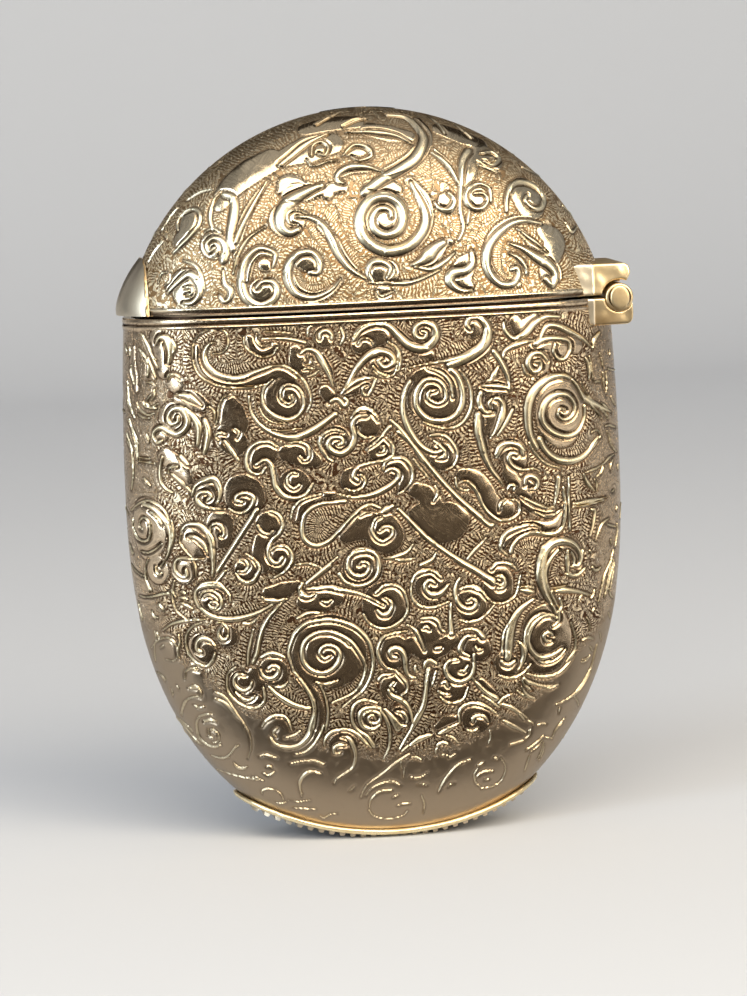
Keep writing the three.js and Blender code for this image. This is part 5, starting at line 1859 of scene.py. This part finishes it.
def chased_material(name, metal, crest_rubbed_and_highlit, tarnish, matted, top_shade_from=None):
    """Silver with polished scrolls over a matted, tarnished ground, with a painted highlight on the crests, painted
    shade in the grooves and painted glints on some matting strokes.
    """
    material, tree, shader = new_material(name)
    ground, ridge, grime = mask(tree, "ground"), mask(tree, "ridge"), mask(tree, "grime")
    inside = mask(tree, "inside")
    mottle = noise(tree, 300, 4, 0.6)
    speckle = noise(tree, 5200, 2, 0.6)
    matt = maths(tree, "MULTIPLY", hatching(tree, mask(tree, "along"), mask(tree, "away")), ground)
    streaks = burnishing(tree, mask(tree, "along"), mask(tree, "away"))
    smooth = maths(tree, "SUBTRACT", 1.0, maths(tree, "MAXIMUM", ground, mask(tree, "foot")), clamp=True)
    metal_here = mixed(tree, ranged(tree, mottle, 0.35, 0.7), metal, tuple(value * 0.85 for value in metal))
    dark_streak = tuple(value * 0.5 for value in metal)
    metal_here = mixed(tree, ranged(tree, streaks, 0.42, 0.62), metal_here, dark_streak)
    metal_here = mixed(tree, mask(tree, "foot"), metal_here, FOOT_TONE)
    ground_tone = mixed(tree, matt, tarnish, matted)
    colour = mixed(tree, ground, metal_here, ground_tone)
    # Paler crests: rubbed high spots, with a painted highlight
    rubbed_and_highlit = ranged(tree, ridge, 0.03, 0.3)
    rubbed_and_highlit = maths(tree, "MULTIPLY", rubbed_and_highlit, ranged(tree, mask(tree, "foot"), 0, 1, 1, 0.45))
    colour = mixed(tree, rubbed_and_highlit, colour, crest_rubbed_and_highlit)
    # Tarnish with painted shade in the grooves
    colour = mixed(tree, maths(tree, "MULTIPLY", grime, 0.95), colour, TARNISH_AND_SHADE)
    # Painted shade: the lid's colour darkens towards its crown
    if top_shade_from:
        place = node(tree, "ShaderNodeSeparateXYZ")
        link(tree, node(tree, "ShaderNodeTexCoord").outputs["Object"], place.inputs[0])
        darker = ranged(tree, place.outputs["Z"], top_shade_from * MM, LID_TOP_SHADE_TO * MM, 0, 0.75)
        colour = mixed(tree, darker, colour, TOP_SHADE_TONE)
    colour = mixed(tree, inside, colour, GILDING)
    link(tree, colour, shader.inputs["Base Color"])
    shader.inputs["Metallic"].default_value = 1.0
    rough = maths(tree, "ADD", ranged(tree, ground, 0, 1, 0.1, 0.38), maths(tree, "MULTIPLY", mottle, 0.07))
    rubbed = maths(tree, "MULTIPLY", ranged(tree, streaks, 0.52, 0.7, 0, 0.24), smooth)
    rubbed = maths(tree, "ADD", rubbed, ranged(tree, noise(tree, 2400, 3, 0.65), 0.5, 0.72, 0, 0.1))
    rubbed = maths(tree, "ADD", rubbed, maths(tree, "MULTIPLY", mask(tree, "foot"), FOOT_ROUGHNESS))
    rough = maths(tree, "ADD", rough, rubbed)
    crests = maths(tree, "MULTIPLY", ranged(tree, ridge, 0.1, 0.6, 0, CREST_ROUGHNESS), smooth)
    rough = maths(tree, "ADD", rough, maths(tree, "ADD", crests, maths(tree, "MULTIPLY", grime, 0.12)))
    link(tree, rough, shader.inputs["Roughness"])
    bump = node(tree, "ShaderNodeBump")
    bump.inputs["Strength"].default_value = 1.0
    bump.inputs["Distance"].default_value = 0.05 * MM
    height = maths(tree, "ADD", matt, maths(tree, "MULTIPLY", speckle, ranged(tree, ground, 0, 1, 0.07, 0.3)))
    streak_height = maths(tree, "MULTIPLY", streaks, maths(tree, "MULTIPLY", smooth, 0.06))
    height = maths(tree, "ADD", height, streak_height)
    link(tree, height, bump.inputs["Height"])
    link(tree, bump.outputs["Normal"], shader.inputs["Normal"])
    return material


def plain_material(name, colour, darker, rough, solder_tone_and_shade=None, solder_reach=None):
    """Worn polished metal, a little mottled, with another tone where its mask or reach asks for it. The mask marks the
    thumb lip's soldered seam, and painted shade on the collar, round the knuckles' bores and between the striker's
    ribs.
    """
    material, tree, shader = new_material(name)
    mottle = noise(tree, 420, 4, 0.6)
    scratch = noise(tree, 3000, 2, 0.7)
    tone = mixed(tree, ranged(tree, mottle, 0.4, 0.75), colour, darker)
    if solder_reach:
        place = node(tree, "ShaderNodeTexCoord").outputs["Object"]
        across = node(tree, "ShaderNodeSeparateXYZ")
        link(tree, place, across.inputs[0])
        near_wall = ranged(tree, across.outputs["X"], solder_reach * MM, (solder_reach + 0.08) * MM, 1, 0)
        tone = mixed(tree, near_wall, tone, SOLDER_TONE)
    if solder_tone_and_shade:
        tone = mixed(tree, mask(tree, "solder"), tone, solder_tone_and_shade)
    link(tree, tone, shader.inputs["Base Color"])
    shader.inputs["Metallic"].default_value = 1.0
    link(tree, ranged(tree, mottle, 0.3, 0.7, rough, rough + 0.12), shader.inputs["Roughness"])
    bump = node(tree, "ShaderNodeBump")
    bump.inputs["Strength"].default_value = 0.25
    bump.inputs["Distance"].default_value = 0.015 * MM
    link(tree, scratch, bump.inputs["Height"])
    link(tree, bump.outputs["Normal"], shader.inputs["Normal"])
    return material


body_metal = chased_material(
    "chased silver, body", (0.78, 0.61, 0.42), (1.0, 0.87, 0.6), (0.09, 0.045, 0.024), (1.0, 0.84, 0.6)
)
# The lid's copy of the chased silver has lighter tones than the body's: painted light
lid_metal_painted_lighter = chased_material(
    "chased silver, lid",
    (0.95, 0.81, 0.58),
    (1.0, 0.91, 0.67),
    (0.28, 0.175, 0.085),
    (0.98, 0.86, 0.63),
    LID_TOP_SHADE_FROM,
)
plain_metal = plain_material("plain silver", (0.88, 0.79, 0.64), (0.62, 0.52, 0.38), 0.22, (0.6, 0.42, 0.2))
# The hinge's second tone is painted shade round the knuckles' bores
hinge_metal = plain_material("cast silver", (0.93, 0.76, 0.48), (0.62, 0.43, 0.22), 0.3, TARNISH_AND_SHADE, SOLDER_REACH)
lip_metal = plain_material("dull silver", (0.66, 0.58, 0.45), (0.5, 0.42, 0.31), 0.3, (0.62, 0.42, 0.19))
rim_metal = plain_material("rubbed silver", (0.93, 0.79, 0.5), (0.74, 0.56, 0.3), 0.24, (0.6, 0.4, 0.18))
# Darker tones than the other silver: a painted dark reflection on the striker; its second tone paints shade between
# the ribs
striker_metal_painted_darker = plain_material("worn silver", (0.55, 0.47, 0.36), (0.36, 0.29, 0.21), 0.32, (0.3, 0.2, 0.1))
# The gilt's second tone is near black: painted shade where the collar shows in the gap between body and lid
gilt_metal = plain_material("gilt", (0.86, 0.68, 0.36), (0.7, 0.52, 0.27), 0.18, (0.02, 0.012, 0.008))
wire_metal = plain_material("pin wire", (0.68, 0.66, 0.62), (0.45, 0.4, 0.34), 0.25)

for key, piece in shells.items():
    piece.data.materials.append(body_metal if key.startswith("body") else lid_metal_painted_lighter)

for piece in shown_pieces():
    if piece in shells.values():
        continue
    metal = plain_metal
    if "collar" in piece.name:
        metal = gilt_metal
    elif piece.name == "hinge_pin":
        metal = wire_metal
    elif piece.name == "thumb_lip":
        metal = lip_metal
    elif "rim" in piece.name:
        metal = rim_metal
    elif "striker" in piece.name:
        metal = striker_metal_painted_darker
    elif any(word in piece.name for word in ("leaf", "knuckle", "plug")):
        metal = hinge_metal
    piece.data.materials.clear()
    piece.data.materials.append(metal)


def plane(name, corners, material):
    """A flat four-sided sheet of the stage."""
    mesh = bpy.data.meshes.new(name)
    mesh.from_pydata([tuple(value * MM for value in corner) for corner in corners], [], [(0, 1, 2, 3)])
    mesh.materials.append(material)
    sheet = bpy.data.objects.new(name, mesh)
    bpy.context.scene.collection.objects.link(sheet)
    return sheet


def matt_material(name, colour):
    material, tree, shader = new_material(name)
    shader.inputs["Base Color"].default_value = (*colour, 1)
    shader.inputs["Roughness"].default_value = 0.9
    shader.inputs["Specular IOR Level"].default_value = 0.1
    return material


floor_paint = matt_material("floor", (0.57, 0.59, 0.63))
card_paint = matt_material("dark card", (0.04, 0.034, 0.03))


def floor_sweep():
    """A floor that curves up into a backdrop."""
    half, front, back, bend = 4000.0, -4000.0, 500.0, 160.0
    profile = [(front, 0.0), (back - bend, 0.0)]
    profile += [
        (back - bend + bend * math.sin(turn), bend - bend * math.cos(turn))
        for turn in np.linspace(0, math.pi / 2, 25)[1:]
    ]
    profile.append((back, 1400.0))
    points = [(side * half * MM, y * MM, z * MM) for y, z in profile for side in (-1, 1)]
    faces = [(2 * k, 2 * k + 1, 2 * k + 3, 2 * k + 2) for k in range(len(profile) - 1)]
    mesh = bpy.data.meshes.new("floor_sweep")
    mesh.from_pydata(points, [], faces)
    mesh.materials.append(floor_paint)
    mesh.shade_smooth()
    sweep = bpy.data.objects.new("floor_sweep", mesh)
    bpy.context.scene.collection.objects.link(sweep)


floor_sweep()


def reflected_dark(name, corners):
    """A dark sheet that only shows in the metal's reflections."""
    sheet = plane(name, corners, card_paint)
    sheet.visible_camera = False
    sheet.visible_diffuse = False
    sheet.visible_shadow = False
    return sheet


def round_case(turn, distance, height):
    """A place round the case: 0 degrees is in front of it and 90 is to its right."""
    angle = math.radians(turn)
    return (distance * math.sin(angle), -distance * math.cos(angle), height)


reflected_dark(
    "dark_card",
    [round_case(-34, 560, 0), round_case(22, 560, 0), round_case(22, 560, 240), round_case(-34, 560, 240)],
)
reflected_dark(
    "dark_mat",
    [round_case(-75, 42, 0.2), round_case(80, 42, 0.2), round_case(34, 560, 0.2), round_case(-34, 560, 0.2)],
)
reflected_dark("dark_flag", [(-500, 300, 330), (500, 300, 330), (500, 60, 600), (-500, 60, 600)])
reflected_dark("dark_wall", [(-300, 420, 70), (300, 420, 70), (300, 300, 330), (-300, 300, 330)])


def lamp(name, place, aim, size, power, colour=(1, 1, 1)):
    """A soft square lamp."""
    light = bpy.data.lights.new(name, "AREA")
    light.shape = "RECTANGLE"
    light.size, light.size_y = (value * MM for value in size)
    light.energy = power
    light.color = colour
    holder = bpy.data.objects.new(name, light)
    bpy.context.scene.collection.objects.link(holder)
    holder.location = Vector(place) * MM
    holder.rotation_euler = (Vector(aim) - Vector(place)).to_track_quat("-Z", "Y").to_euler()
    return holder


AIM = (0, 0, 20)
lamp("lamp_above", (0, 0, 800), AIM, (800, 800), 0.65, (1.0, 0.96, 0.9))
lamp("lamp_front", round_case(-2, 480, 370), AIM, (560, 420), 4.0, (1.0, 0.9, 0.75))
lamp("lamp_left", round_case(-52, 480, 130), AIM, (150, 320), 1.5, (0.76, 0.89, 1.0))
lamp("lamp_right", round_case(38, 480, 230), AIM, (280, 340), 1.8, (1.0, 0.86, 0.64))

ROOM_GLOW = 0.42

world = bpy.data.worlds.new("studio")
world.use_nodes = True
bpy.context.scene.world = world
tree = world.node_tree
glow = tree.nodes["Background"]
glow.inputs["Color"].default_value = (0.85, 0.85, 0.85, 1)
glow.inputs["Strength"].default_value = ROOM_GLOW

scene = bpy.context.scene
scene.view_settings.view_transform = "Standard"

camera_data = bpy.data.cameras.new("camera")
camera_data.sensor_width = 36
camera_data.lens = FOCAL_PIXELS / IMAGE_HEIGHT * camera_data.sensor_width
camera_data.clip_start = 0.01
camera_data.clip_end = 10
camera = bpy.data.objects.new("camera", camera_data)
scene.collection.objects.link(camera)
lowering = math.atan((IMAGE_HEIGHT / 2 - VIEW_CENTRE_ROW) / FOCAL_PIXELS)
aim = view_forward * math.cos(lowering) - view_up * math.sin(lowering)
up = view_up * math.cos(lowering) + view_forward * math.sin(lowering)
turning = Matrix((view_right, up, -aim)).transposed()
camera.matrix_world = Matrix.Translation(Vector(view_point) * MM) @ turning.to_4x4()
scene.camera = camera
